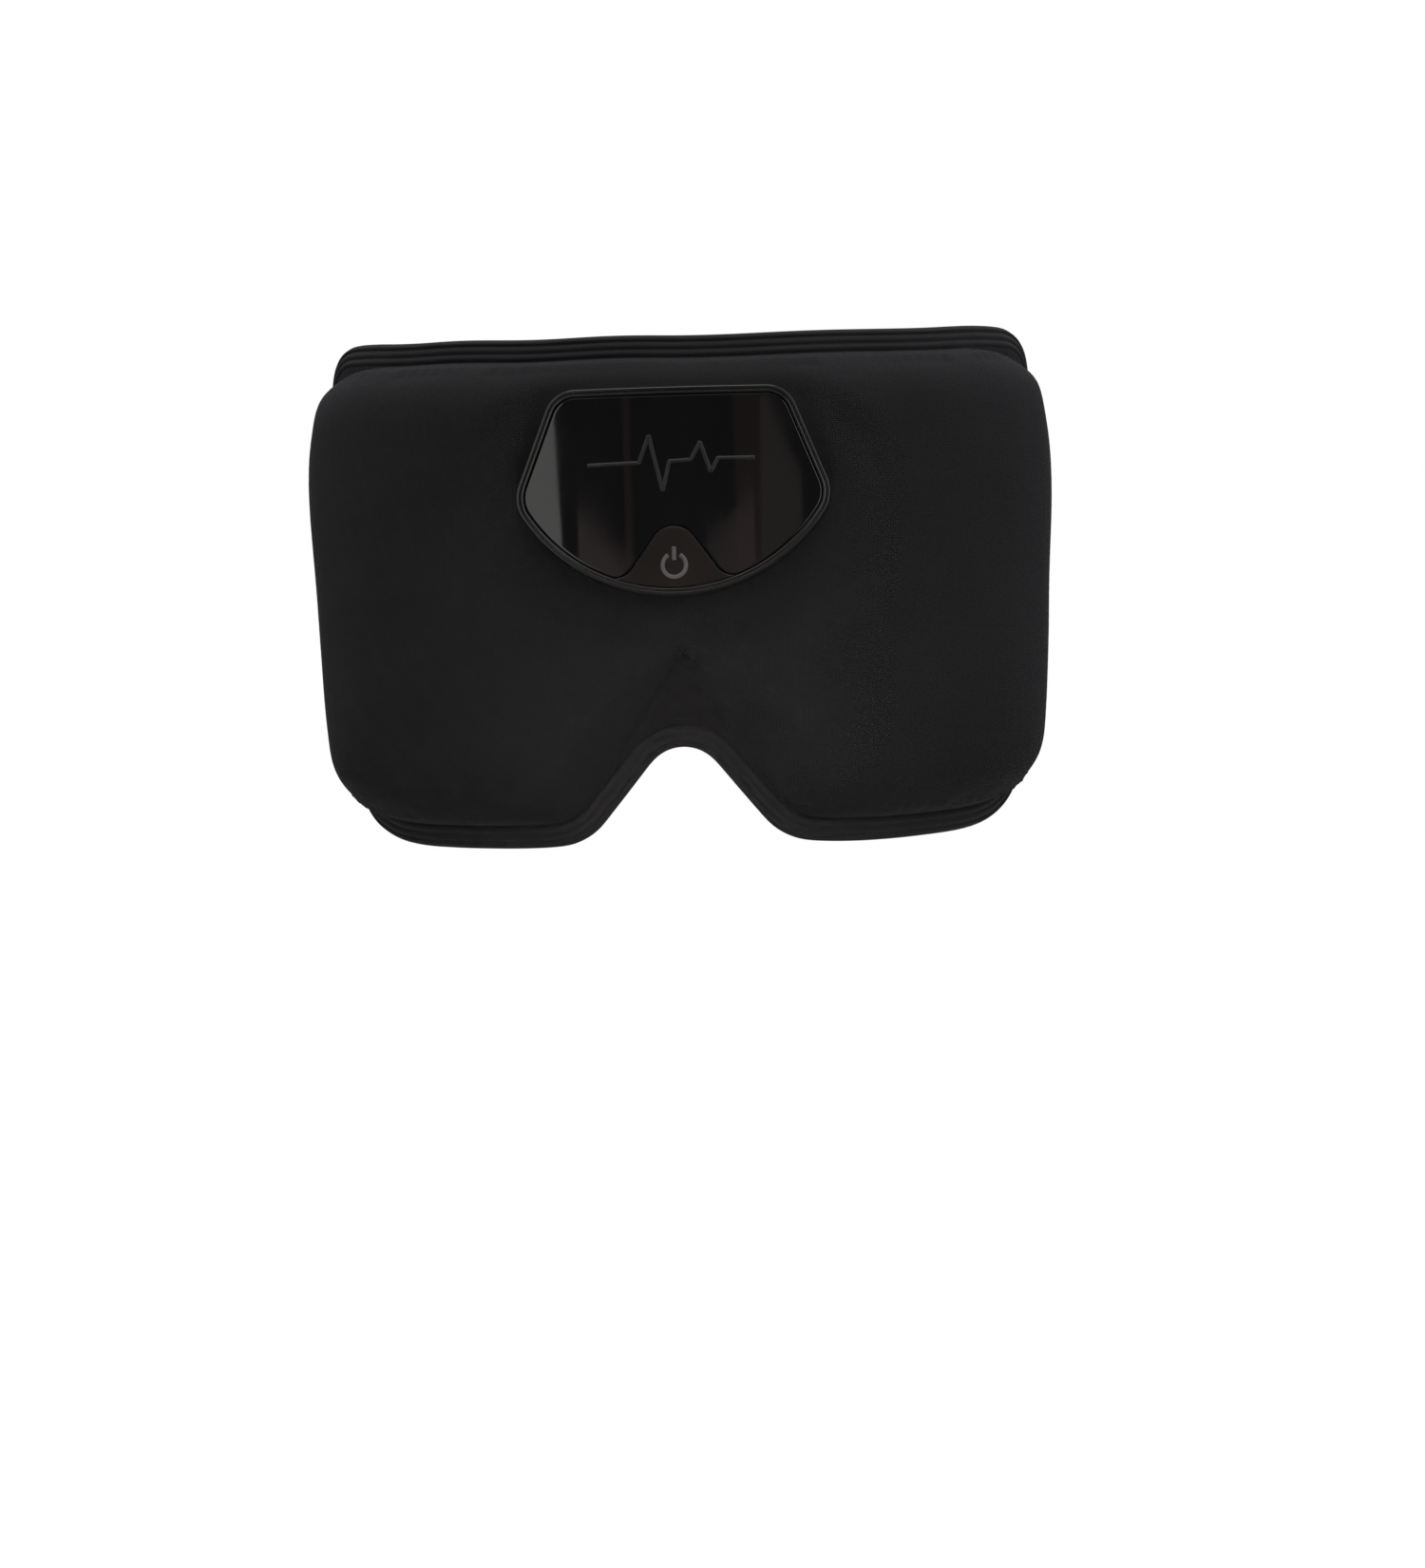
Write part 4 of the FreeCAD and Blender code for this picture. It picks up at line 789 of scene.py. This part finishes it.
bottom = np.minimum(FLANGE + smooth_height - 2.2, top - 0.5)
bottom = np.where(d < 0.8, np.minimum(bottom + 0.6 * rim_turn, top - 0.3), bottom)
cover = plate("cover_shell", flat, tris, top, bottom)
finish(cover, COVER, "mask", "cover_knit", "front_cover")
# The border's faces take the lighter edge knit, whose extra lightness is painted light over the border's
# shade.
cover.data.materials.append(EDGE_KNIT_PAINTED_LIGHT)
border_painted_light_faces = (d < BORDER - 0.4)[tris].all(1).astype(np.int32)
every_face = np.zeros(len(cover.data.polygons), np.int32)
every_face[:len(tris)] = border_painted_light_faces
cover.data.polygons.foreach_set("material_index", every_face)
cover_points = flat
cover_inside = bottom


def cover_under(p):
    """The radius of the cover's inner side at some points, from the nearest points of its mesh."""
    return carried(p, cover_points, cover_inside, 3, lambda gap: 1.0 / (0.05 + gap))


# ---------------------------------------------------------------- the face side

CUP_AT = FLANGE * math.radians(21.3)
CUP_HEIGHT = -16.0
CUP_HALF = (23.3, 17.0)
CUP_DEEP = 10.0
CUP_WALL = 1.0
LINING_BACK = 89.6
MOTOR_TOP = 98.4
MOTOR_CLEAR = 5.5
CORE_BACK = 94.2
PAD_BACK = 90.3
FILLING_INSET = 9.5
FILLING_STEP = 1.2


def cup_share(p, side):
    return np.hypot((p[:, 0] - side * CUP_AT) / CUP_HALF[0], (p[:, 1] - CUP_HEIGHT) / CUP_HALF[1])


lining_outline = grown(outline, -0.2)
cup_holes = [ellipse((side * CUP_AT, CUP_HEIGHT), CUP_HALF[0] + 0.2, CUP_HALF[1] + 0.2) for side in (-1, 1)]
lining_rings = (0.0, 0.3, 0.9, 2.0, 2.6, 3.0, 3.4, 4.0, 5.5)
flat, tris = patch(lining_outline, cup_holes, LINING_STEP, lining_rings, (0.0, 0.6, 1.4))
d = away(flat, lining_outline)
near_cup = np.minimum(cup_share(flat, -1), cup_share(flat, 1))
puff = 0.75 * ramp(d, 3.2, 15) * ramp(near_cup, 1.02, 1.3) + 0.12 * ripple(flat, 20.0, 31) * ramp(d, 4, 12)
puff -= swollen_by(lining_outline, cup_holes, lambda p: np.full(len(p), FACE),
                   lambda p: 1 - 0.9 * ramp(away(p, lining_outline), 3, 9), flat, 0.9,
                   -1) * ramp(d, 3.2, 9) * ramp(near_cup, 1.05, 1.3)
seam = 0.45 * np.exp(-((d - 3.0) / 0.4) ** 2)
rim_turn = 0.7 * (1 - swell(d / 0.9))
face = FACE - puff + seam + rim_turn
back = LINING_BACK - rim_turn
lining = plate("lining_sheet", flat, tris[:, ::-1], face, back)
finish(lining, LINING, "mask", "lining_fabric", "face_lining")

for side, side_name in ((1, "left"), (-1, "right")):
    ring = ellipse((side * CUP_AT, CUP_HEIGHT), CUP_HALF[0] + 1.6, CUP_HALF[1] + 1.6, 150)
    flat, tris = patch(ring, [], 1.1, [0.0, 0.25, 0.55, 0.9, 1.3, 1.7, 2.1, 2.6])
    share = cup_share(flat, side)
    edge = away(flat, ring)
    bowl = CUP_DEEP * np.sqrt(np.clip(1 - share ** 2, 0, 1))
    lip = 0.9 * np.sqrt(np.clip(1 - ((edge - 0.8) / 0.8) ** 2, 0, 1))
    bowl = eased_field(tris, bowl, 3, 0.5)
    face = FACE + bowl - lip
    back = np.maximum(FACE + bowl + CUP_WALL, face + 0.6)
    cup = plate("eye_cup_%s_shell" % side_name, flat, tris[:, ::-1], face, back)
    finish(cup, CUP, "mask", "lining_fabric", "eye_cup_" + side_name)


def cup_room(p, wall):
    """The radius that an eye cup reaches out to, with some wall added."""
    share = np.minimum(cup_share(p, -1), cup_share(p, 1)) * CUP_HALF[0] / (CUP_HALF[0] + wall)
    return np.where(share < 1, FACE + (CUP_DEEP + wall) * np.sqrt(np.clip(1 - share ** 2, 0, 1)), 0.0)


def motor_room(p):
    """The radius that a vibration motor reaches out to."""
    reach = np.zeros(len(p))
    for number in range(1, 5):
        low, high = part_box("motor_case_%d" % number)
        middle = (low + high) * 500
        u = FLANGE * math.atan2(middle.x, FACE - middle.y)
        near = np.hypot((p[:, 0] - u) * 1.03, p[:, 1] - middle.z) < MOTOR_CLEAR
        reach = np.maximum(reach, np.where(near, MOTOR_TOP, 0))
    return reach


clamp_hole = spaced(grown(spread(module), 0.4), FILLING_STEP)
filling = grown(outline, -FILLING_INSET)
flat, tris = patch(spaced(filling, FILLING_STEP), [clamp_hole], FOAM_STEP, (0.0, 0.8))
under = cover_under(flat) - 0.25
low = np.maximum(np.maximum(np.full(len(flat), CORE_BACK), cup_room(flat, 1.9)), motor_room(flat))
tris = tris[(under > 95.0)[tris].all(1)]
flat, tris, (under, low) = compact(flat, tris, under, low)
core = plate("foam_core_block", flat, tris, np.maximum(under, low + 0.3), low)
finish(core, BY_SLOT["foam"], "mask", "foam", "foam_core")
neck_hole = spaced(grown(spread(module), -2.6), FILLING_STEP)
pad_holes = [ellipse((side * CUP_AT, CUP_HEIGHT), CUP_HALF[0] + 2.4, CUP_HALF[1] + 2.4) for side in (-1, 1)]
flat, tris = patch(spaced(filling, FILLING_STEP), [neck_hole] + pad_holes, FOAM_STEP, (0.0, 0.8))
d = away(flat, filling)
under = np.minimum(cover_under(flat) - 0.2, 94.0)
tris = tris[(under > 91.3)[tris].all(1)]
flat, tris, (under, d) = compact(flat, tris, under, d)
rounded = np.minimum(1.2 * (1 - swell(d / 1.6)), (under - PAD_BACK - 0.2) / 2)
pad = plate("face_pad_sheet", flat, tris, under - rounded, PAD_BACK + rounded)
finish(pad, BY_SLOT["foam"], "mask", "foam", "face_pad")


# ---------------------------------------------------------------- the control module

def ring_solid(name, loop, profile, place=pressed):
    """A closed moulding that follows an outline: profile is a closed row of (inwards, radius) points."""
    verts = np.concatenate([place(grown(loop, -inwards), radius) for inwards, radius in profile])
    count = len(loop)
    uv = np.concatenate([np.stack([run_of(loop), np.full(count, radius + inwards)], 1)
                         for inwards, radius in profile])
    return make(name, verts, quads(len(profile), count, closed=True), uv=uv)


def bend(centre, radius, start, end, count=5):
    """Profile points on a small rounded edge."""
    turn = np.radians(np.linspace(start, end, count))
    return [(centre[0] - radius * math.cos(t), centre[1] + radius * math.sin(t)) for t in turn]


rim_profile = [(-0.5, 104.3), (-0.4, 107.0), (-0.12, 111.0), (0.0, RIM - 0.2)]
rim_profile += bend((0.2, RIM - 0.2), 0.2, 10, 90, 6)
rim_profile += [(0.74, RIM - 0.02), (0.80, RIM - 0.06), (0.84, RIM - 0.24), (0.92, RIM - 0.24),
                (0.96, RIM - 0.16), (1.02, RIM - 0.12), (1.40, RIM - 0.12)]
rim_profile += [(1.40 + 0.14 * math.sin(t), RIM - 0.26 + 0.14 * math.cos(t)) for t in (0.4, 0.8, 1.2, 1.57)]
rim_profile += [(1.6, 112.2), (1.6, 110.9), (3.0, 110.9), (3.0, 109.4), (1.8, 109.2), (1.8, 104.3)]
bezel = ring_solid("module_bezel", module, rim_profile)
PORT_WIDE, PORT_TALL, PORT_Y = 9.34, 3.56, -19.38
port_round = PORT_TALL / 2
port_flat = PORT_WIDE / 2 - port_round
port_loop = np.concatenate([arc((port_flat, PORT_Y), port_round, -90, 90),
                            arc((-port_flat, PORT_Y), port_round, 90, 270)])
low_face, high_face = [np.column_stack([port_loop, np.full(len(port_loop), z)]) for z in (40.0, 47.0)]
count = len(port_loop)
walls = [[k, (k + 1) % count, (k + 1) % count + count, k + count] for k in range(count)]
port = make("port_cutter", np.concatenate([low_face, high_face]),
            walls + [list(range(count))[::-1], list(range(count, 2 * count))], smooth=False)
cut = bezel.modifiers.new("port", "BOOLEAN")
cut.object = port
cut.solver = "EXACT"
bezel.data = bpy.data.meshes.new_from_object(bezel.evaluated_get(bpy.context.evaluated_depsgraph_get()))
bezel.modifiers.clear()
bpy.data.objects.remove(port)
finish(crisp(bezel), HOUSING, "mask", "housing_plastic", "front_housing")

key_room = spaced(grown(key, 0.15), 0.3)
pane = spaced(grown(module, -1.75), 0.5)
EDGE = (0.0, 0.07, 0.16, 0.3, 0.6)
PANE_STEP = 0.9
SOFT_EDGE = 0.3
LENS_BACK = 111.05
BUTTON_BACK = 109.6


def pane_patch():
    """The window: everything inside the rim that the button leaves free."""
    rings = np.concatenate([grown(pane, -gap) for gap in EDGE[1:]]
                           + [grown(key_room, gap) for gap in EDGE[1:]])
    grid = hex_grid(pane.min(0), pane.max(0), PANE_STEP)
    near = (depth(rings, pane) > 0.02) & (depth(rings, key_room) < -0.02)
    clear = (depth(grid, pane) > PANE_STEP) & (depth(grid, key_room) < -PANE_STEP)
    return triangulated([pane, key_room], [rings[near], grid[clear]], 1e-6,
                        lambda p: within(p, pane) & ~within(p, key_room) & (away(p, pane) > 0.004))


flat, tris = pane_patch()
d = np.minimum(away(flat, pane), away(flat, key_room))
window = plate("lens_window", flat, tris, LENS - SOFT_EDGE * (1 - swell(d / SOFT_EDGE)),
               np.full(len(flat), LENS_BACK), pressed)
finish(crisp(window), GLOSS, "mask", "lens_gloss", "lens_panel")


def button_face(p):
    """The button's slightly dished face."""
    return BUTTON - 0.3 * np.exp(-((p[:, 0] / 5.5) ** 2 + ((p[:, 1] - 5.0) / 5.0) ** 2))


flat, tris = patch(spaced(key, 0.3), [], 0.7, EDGE)
d = away(flat, key)
cap = plate("button_cap", flat, tris, button_face(flat) - SOFT_EDGE * (1 - swell(d / SOFT_EDGE)),
            np.full(len(flat), BUTTON_BACK), pressed)
finish(crisp(cap), BUTTON_SATIN, "button", "button_plastic", "power_button")


def printed(name, points, wide, surface, rise=0.03):
    """A raised printed line on the module, of even width; surface gives the radius it lies on."""
    line = spaced(np.array(points, float), 0.25, closed=False)
    along = headings(line)
    across = np.stack([-along[:, 1], along[:, 0]], 1) * wide / 2
    rows = []
    for share, lift in ((1.0, -0.05), (0.85, rise), (0.0, rise), (-0.85, rise), (-1.0, -0.05), (0.0, -0.08)):
        spot = line + share * across
        rows.append(pressed(spot, surface(spot) + lift))
    count = len(line)
    verts = np.concatenate(rows)
    faces = []
    for row in range(6):
        after = (row + 1) % 6
        for k in range(count - 1):
            faces.append([row * count + k, after * count + k, after * count + k + 1, row * count + k + 1])
    faces.append([row * count for row in range(6)][::-1])
    faces.append([row * count + count - 1 for row in range(6)])
    return make(name, verts, faces)


beat = [(-18.7, 27.2), (-7.2, 27.4), (-4.9, 33.4), (-2.1, 21.0), (-0.5, 27.6), (4.2, 27.8), (6.4, 31.7),
        (8.6, 25.0), (10.2, 28.0), (18.4, 28.0)]
pulse = printed("pulse_line", beat, 0.95, lambda p: np.full(len(p), LENS))
finish(pulse, PULSE, "mask", "lens_gloss")
icon_ring = printed("power_icon_ring", arc((0, 4.7), 2.6, 120, 420), 1.0, button_face)
finish(icon_ring, PRINT, "button", "button_plastic")
icon_bar = printed("power_icon_bar", [(0, 5.8), (0, 8.8)], 1.0, button_face)
finish(icon_bar, PRINT, "button", "button_plastic")


# ---------------------------------------------------------------- strap, tabs and hardware

SELVEDGE = 0.45


def band(name, path, wide=30.0, thick=1.5, rib=1.5, step=1.0):
    """Webbing along a level path: lengthwise cords, rounded selvedges and closed ends."""
    line = spaced(path, step, closed=False)
    along = headings(line)
    normal = np.stack([along[:, 1], -along[:, 0]], 1)
    half = wide / 2
    flat_half = half - SELVEDGE
    z = np.linspace(-flat_half, flat_half, int(wide / rib * 4) + 1)
    swollen = thick / 2 * (0.86 + 0.14 * np.abs(np.sin(math.pi * (z + half) / rib)))
    ends = np.radians(np.linspace(60, -60, 5))
    section = [(s, h) for s, h in zip(swollen, z)]
    section += [(thick / 2 * math.sin(t), flat_half + SELVEDGE * math.cos(t)) for t in ends]
    section += [(-s, h) for s, h in zip(swollen[::-1], z[::-1])]
    section += [(-thick / 2 * math.sin(t), -flat_half - SELVEDGE * math.cos(t)) for t in ends]
    section = np.array(section)
    count, size = len(line), len(section)
    verts = np.empty((count, size, 3))
    verts[:, :, 0] = line[:, None, 0] + normal[:, None, 0] * section[None, :, 0]
    verts[:, :, 1] = line[:, None, 1] + normal[:, None, 1] * section[None, :, 0]
    verts[:, :, 2] = section[None, :, 1]
    uv = np.empty((count, size, 2))
    uv[:, :, 0] = run_of(line)[:, None]
    uv[:, :, 1] = section[None, :, 1] + half
    faces = [[a, d, c, b] for a, b, c, d in quads(count, size)]
    faces.append(list(range(size)))
    faces.append([(count - 1) * size + j for j in range(size)][::-1])
    return make(name, verts.reshape(-1, 3), faces, uv=uv.reshape(-1, 2))


def stitches(name, starts, ends, outward, radius=0.22):
    """Short threads lying on a surface: one capsule from each start to each end."""
    verts, faces = [], []
    sides, rings = 6, (0.0, 0.12, 0.35, 0.65, 0.88, 1.0)
    for start, end, out in zip(starts, ends, outward):
        along = (end - start) / np.linalg.norm(end - start)
        across = np.cross(along, out)
        base = len(verts)
        for t in rings:
            lift = math.sin(math.pi * t)
            fat = radius * (0.35 + 0.65 * lift ** 0.5)
            middle = start + (end - start) * t + out * (radius * (0.9 * lift - 0.25))
            for k in range(sides):
                turn = 2 * math.pi * k / sides
                verts.append(middle + fat * (math.cos(turn) * across + math.sin(turn) * out))
        faces += quads(len(rings), sides, base=base)
        faces.append([base + k for k in range(sides)][::-1])
        faces.append([base + (len(rings) - 1) * sides + k for k in range(sides)])
    return make(name, verts, faces)


def seam(line, outward, long=2.2, gap=0.7):
    """Starts and ends of running stitches along a line of 3-D points."""
    line = np.asarray(line, float)
    run = run_of(line)
    count = max(1, int((run[-1] + gap) / (long + gap)))
    pace = (run[-1] + gap) / count
    pick = lambda at: np.stack([np.interp(at, run, line[:, k]) for k in range(3)], -1)
    begin = pace * np.arange(count)
    starts, ends = pick(begin), pick(begin + pace - gap)
    out = np.array([outward((a + b) / 2) for a, b in zip(starts, ends)])
    return starts, ends, out


bar_x = (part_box("strap_ring")[0].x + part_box("strap_ring")[1].x) * 500
RING_NEAR, RING_FAR = 64.0, 73.0
TAB_RADIUS = 87.0
TAB_START, TAB_EDGE = 55.0, 64.5
TAB_RUN, TAB_BEND = 3.0, 12.0
TAB_LOOP, TAB_TAIL = 2.0, 5.0
edge_turn = math.radians(TAB_EDGE)
ahead = np.array([math.cos(edge_turn), math.sin(edge_turn)])
outward = np.array([math.sin(edge_turn), -math.cos(edge_turn)])
bend_centre = np.array([0, FACE]) + TAB_RADIUS * outward + TAB_RUN * ahead - TAB_BEND * outward
tab_x = bend_centre[0] + TAB_BEND
tab_path = np.concatenate([arc((0, FACE), TAB_RADIUS, TAB_START - 90, TAB_EDGE - 90, count=20),
                           arc(bend_centre, TAB_BEND, TAB_EDGE - 90, 0, count=14)])
loop_path = np.concatenate([tab_path, arc((tab_x - TAB_LOOP, RING_NEAR), TAB_LOOP, 0, 180, count=22),
                            [(tab_x - 2 * TAB_LOOP, RING_NEAR - TAB_TAIL)]])
tab_left = band("tab_left_webbing", loop_path, step=0.6)
finish(tab_left, WEBBING, "mask", "strap_webbing", "tab_left")
mirror = np.array([-1.0, 1.0])
right_path = (np.concatenate([tab_path, [(tab_x, RING_FAR + 1)]]) * mirror)[::-1]
tab_right = band("tab_right_webbing", right_path, step=0.8)
finish(tab_right, WEBBING, "mask", "strap_webbing", "tab_right")

FOLD = 2.8
STRAP_BEND, STRAP_TURN = 66.0, 128.0
STRAP_START, STRAP_MID, STRAP_END = 76.0, 100.0, 60.0
RETURN_END = 106.0
outer_x, inner_x = bar_x + FOLD, bar_x - FOLD
far_x = -(tab_x + 1.8)
strap_path = np.concatenate([
    [(inner_x, STRAP_START)], arc((bar_x, RING_FAR), FOLD, 180, 360, count=24), [(outer_x, STRAP_MID)],
    arc((outer_x - STRAP_BEND, STRAP_TURN), STRAP_BEND, 0, 90, count=60),
    arc((far_x + STRAP_BEND, STRAP_TURN), STRAP_BEND, 90, 180, count=60), [(far_x, STRAP_END)]])
strap = band("strap_webbing_band", strap_path)
finish(strap, WEBBING, "mask", "strap_webbing", "strap_main")
run_back = band("strap_return_band", np.array([(inner_x, STRAP_START + 0.2), (inner_x, RETURN_END)]))
finish(run_back, WEBBING, "mask", "strap_webbing", "strap_return")
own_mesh(run_back)
PIN_X, PIN_Y = 78.085, 117.0
loop_radius = PIN_X - inner_x
end_path = np.concatenate([[(inner_x, RETURN_END + 0.2)], arc((PIN_X, PIN_Y), loop_radius, 180, 0, count=24),
                           [(PIN_X + loop_radius, 108.2)]])
end_loop = band("strap_end_fold", end_path, step=0.5)
finish(end_loop, WEBBING, "slider", "strap_webbing", "strap_end_loop")

# The strap's far end is sewn to the right tab with a crossed box.
BOX_FRONT, BOX_BACK, BOX_HALF = 61.5, 72.5, 12.5
THREAD_DEEP = 0.72


def far_line(y, z):
    """A line on the strap's outer side, from its places along and across the strap."""
    count = max(np.size(y), np.size(z))
    return np.stack([np.full(count, far_x - THREAD_DEEP), y + np.zeros(count), z + np.zeros(count)], 1)


sewn = [far_line(np.linspace(BOX_FRONT, BOX_BACK, 12), z) for z in (-BOX_HALF, BOX_HALF)]
sewn += [far_line(y, np.linspace(-BOX_HALF, BOX_HALF, 20)) for y in (BOX_FRONT, BOX_BACK)]
sewn += [far_line(np.linspace(BOX_FRONT, BOX_BACK, 24), lean * np.linspace(-BOX_HALF, BOX_HALF, 24))
         for lean in (-1, 1)]
rows = [seam(line, lambda p: np.array([-1.0, 0, 0])) for line in sewn]
box_x = stitches("strap_box_stitch", *[np.concatenate([row[k] for row in rows]) for k in range(3)])
finish(box_x, THREAD, "mask", "strap_webbing")

# Each tab is sewn to the mask by three upright rows.
for side, side_name in ((1, "left"), (-1, "right")):
    rows = []
    for turn in np.radians((56.6, 59.2, 61.8)):
        z = np.linspace(-13.2, 13.2, 20)
        spot_x = side * (TAB_RADIUS - THREAD_DEEP) * math.sin(turn)
        spot_y = FACE - (TAB_RADIUS - THREAD_DEEP) * math.cos(turn)
        inward = np.array([-side * math.sin(turn), math.cos(turn), 0])
        line = np.stack([np.full(20, spot_x), np.full(20, spot_y), z], 1)
        rows.append(seam(line, lambda p, i=inward: i))
    sewing = stitches("tab_%s_stitch" % side_name,
                      *[np.concatenate([row[k] for row in rows]) for k in range(3)])
    finish(sewing, THREAD, "mask", "strap_webbing")


def softened(name, node, width):
    """A copy of a CAD piece with its flats merged and its edges rounded."""
    mesh = frame["nodes"][node].data.copy()
    thing = bpy.data.objects.new(name, mesh)
    bpy.context.scene.collection.objects.link(thing)
    weld = thing.modifiers.new("weld", "WELD")
    weld.merge_threshold = 1e-6
    flats = thing.modifiers.new("flats", "DECIMATE")
    flats.decimate_type = "DISSOLVE"
    flats.angle_limit = math.radians(3)
    rounding = thing.modifiers.new("rounding", "BEVEL")
    rounding.width = width * 0.001
    rounding.segments = 3
    rounding.limit_method = "ANGLE"
    rounding.angle_limit = math.radians(30)
    baked = bpy.data.meshes.new_from_object(thing.evaluated_get(bpy.context.evaluated_depsgraph_get()))
    thing.modifiers.clear()
    thing.data = baked
    thing.data.name = name
    baked.polygons.foreach_set("use_smooth", [True] * len(baked.polygons))
    return thing


slider = softened("slider_frame", "strap_slider", 0.45)
finish(crisp(slider), SLIDER, "slider", "slider_plastic", "strap_slider")


# ---------------------------------------------------------------- stage, light and camera

def area(name, place, aim, wide, tall, power, colour=(1, 1, 1)):
    """A rectangular light at a place, in metres, that shines towards another."""
    light = bpy.data.lights.new(name, "AREA")
    light.shape = "RECTANGLE"
    light.size = wide
    light.size_y = tall
    light.energy = power
    light.color = colour
    thing = bpy.data.objects.new(name, light)
    bpy.context.scene.collection.objects.link(thing)
    thing.location = place
    thing.rotation_euler = (Vector(aim) - Vector(place)).to_track_quat("-Z", "Y").to_euler()
    return thing


def around(azimuth, distance, height):
    """A place in metres; azimuth 0 is in front of the mask, and 90 is at its wearer's left."""
    turn = math.radians(azimuth)
    return (distance * math.sin(turn), -distance * math.cos(turn), height)


MIDDLE = (0.0, 0.02, 0.0)
# Softboxes that light the cloth but don't show in the window: name, azimuth, distance, height, size, power.
SOFTBOXES = (("soft_left", -62, 1.1, 0.32, 0.40, 0.9, 3.0),
             ("soft_right", 71, 1.2, 0.30, 0.5, 1.0, 7.0),
             ("soft_front", 14, 1.2, 0.45, 0.9, 0.6, 6.0))
for box_name, azimuth, distance, height_at, wide, tall, power in SOFTBOXES:
    softbox = area(box_name, around(azimuth, distance, height_at), MIDDLE, wide, tall, power)
    softbox.visible_glossy = False
area("soft_top", (0.0, -0.25, 1.1), MIDDLE, 1.2, 0.8, 10)
# Cards that show only in the window and the rim: name, azimuth, height, size, lean, brightness, colour.
CARDS = (("card_left", -41.7, 0.09, 0.42, 0.70, 22, 1.35, (1.0, 0.98, 0.96)),
         ("card_far_right", 62, 0.10, 0.50, 1.00, 0, 2.4, (1.0, 1.0, 1.0)),
         ("card_low_left", -18.9, -0.10, 0.27, 0.30, -6, 0.40, (1.0, 0.82, 0.74)),
         ("card_low_right", 12.5, -0.09, 0.23, 0.30, 5, 0.26, (1.0, 0.82, 0.74)),
         ("card_right", 23.2, -0.06, 0.19, 0.32, -12, 0.22, (1.0, 0.84, 0.76)),
         ("card_streak", -12.6, 0.10, 0.030, 0.60, 0, 0.12, (1.0, 0.55, 0.42)),
         ("card_red", 16.6, 0.12, 0.12, 0.50, 0, 0.10, (1.0, 0.45, 0.40)))
CARD_DISTANCE = 1.1
for card_name, azimuth, height_at, wide, tall, lean, glow_of, colour in CARDS:
    card = area(card_name, around(azimuth, CARD_DISTANCE, height_at), (0, 0, height_at), wide, tall,
                glow_of * math.pi * wide * tall, colour)
    card.rotation_euler.rotate_axis("Z", math.radians(lean))
    card.visible_diffuse = False
glow = area("nose_glow", (0.0, -0.22, -0.16), (0.0, -0.01, -0.035), 0.08, 0.04, 0.09, (1.0, 0.93, 0.88))
glow.data.spread = math.radians(50)
glow.visible_glossy = False

# The room is brighter behind the camera and overhead, dim below, and white where the camera sees it.
studio = Nodes(bpy.data.worlds.new("studio"))
bpy.context.scene.world = studio.owner
studio.tree.nodes.clear()
_, ahead, up = studio.split(studio.add("ShaderNodeTexCoord").outputs["Generated"])
from_front = studio.span(ahead, -0.55, 0.45, 0.08, 1.1, "SMOOTHSTEP")
from_above = studio.span(up, 0.22, 0.75, 0.0, 0.9, "SMOOTHSTEP")
from_below = studio.span(up, -0.6, 0.0, 0.12, 1.0)
strength = studio.math("MAXIMUM", studio.math("MULTIPLY", from_front, from_below), from_above)
room = studio.add("ShaderNodeBackground")
studio.join(strength, room.inputs["Strength"])
white = studio.add("ShaderNodeBackground")
studio.join((1, 1, 1, 1), white.inputs["Color"])
mix = studio.add("ShaderNodeMixShader")
studio.join(studio.add("ShaderNodeLightPath").outputs["Is Camera Ray"], mix.inputs[0])
studio.join(room.outputs[0], mix.inputs[1])
studio.join(white.outputs[0], mix.inputs[2])
studio.join(mix.outputs[0], studio.add("ShaderNodeOutputWorld").inputs[0])

FLOOR = -0.206
floor = make("floor", np.array([(-6, -6, FLOOR), (6, -6, FLOOR), (6, 6, FLOOR), (-6, 6, FLOOR)]) * 1000.0,
             [[0, 1, 2, 3]])
floor_paint = moulded("floor_paint", (0.86, 0.86, 0.86), (0.90, 0.90, 0.90), 0.7, 0.9, 0.0, 40.0)
floor_shader = floor_paint.node_tree.nodes["Principled BSDF"]
floor_shader.inputs["Emission Color"].default_value = (1, 1, 1, 1)
floor_shader.inputs["Emission Strength"].default_value = 0.5
floor.data.materials.append(floor_paint)
floor.visible_diffuse = False
floor.visible_glossy = False

scene = bpy.context.scene
scene.view_settings.view_transform = "Standard"
camera = bpy.data.objects.new("camera", bpy.data.cameras.new("camera"))
scene.collection.objects.link(camera)
TARGET = Vector((0.0064, 0.0, -0.0440))
AZIMUTH, ELEVATION, DISTANCE, ROLL = 1.6, 0.5, 1.2, 1.6
FRAME_HEIGHT = 0.353
turn, rise = math.radians(AZIMUTH), math.radians(ELEVATION)
camera.location = TARGET + DISTANCE * Vector((math.sin(turn) * math.cos(rise),
                                              -math.cos(turn) * math.cos(rise), math.sin(rise)))
facing = (TARGET - camera.location).to_track_quat("-Z", "Y").to_matrix()
rolled = facing @ Matrix.Rotation(math.radians(-ROLL), 3, "Z")
camera.rotation_euler = rolled.to_euler()
camera.data.sensor_fit = "VERTICAL"
camera.data.angle_y = 2 * math.atan(FRAME_HEIGHT / 2 / DISTANCE)
camera.data.clip_start = 0.01
scene.camera = camera
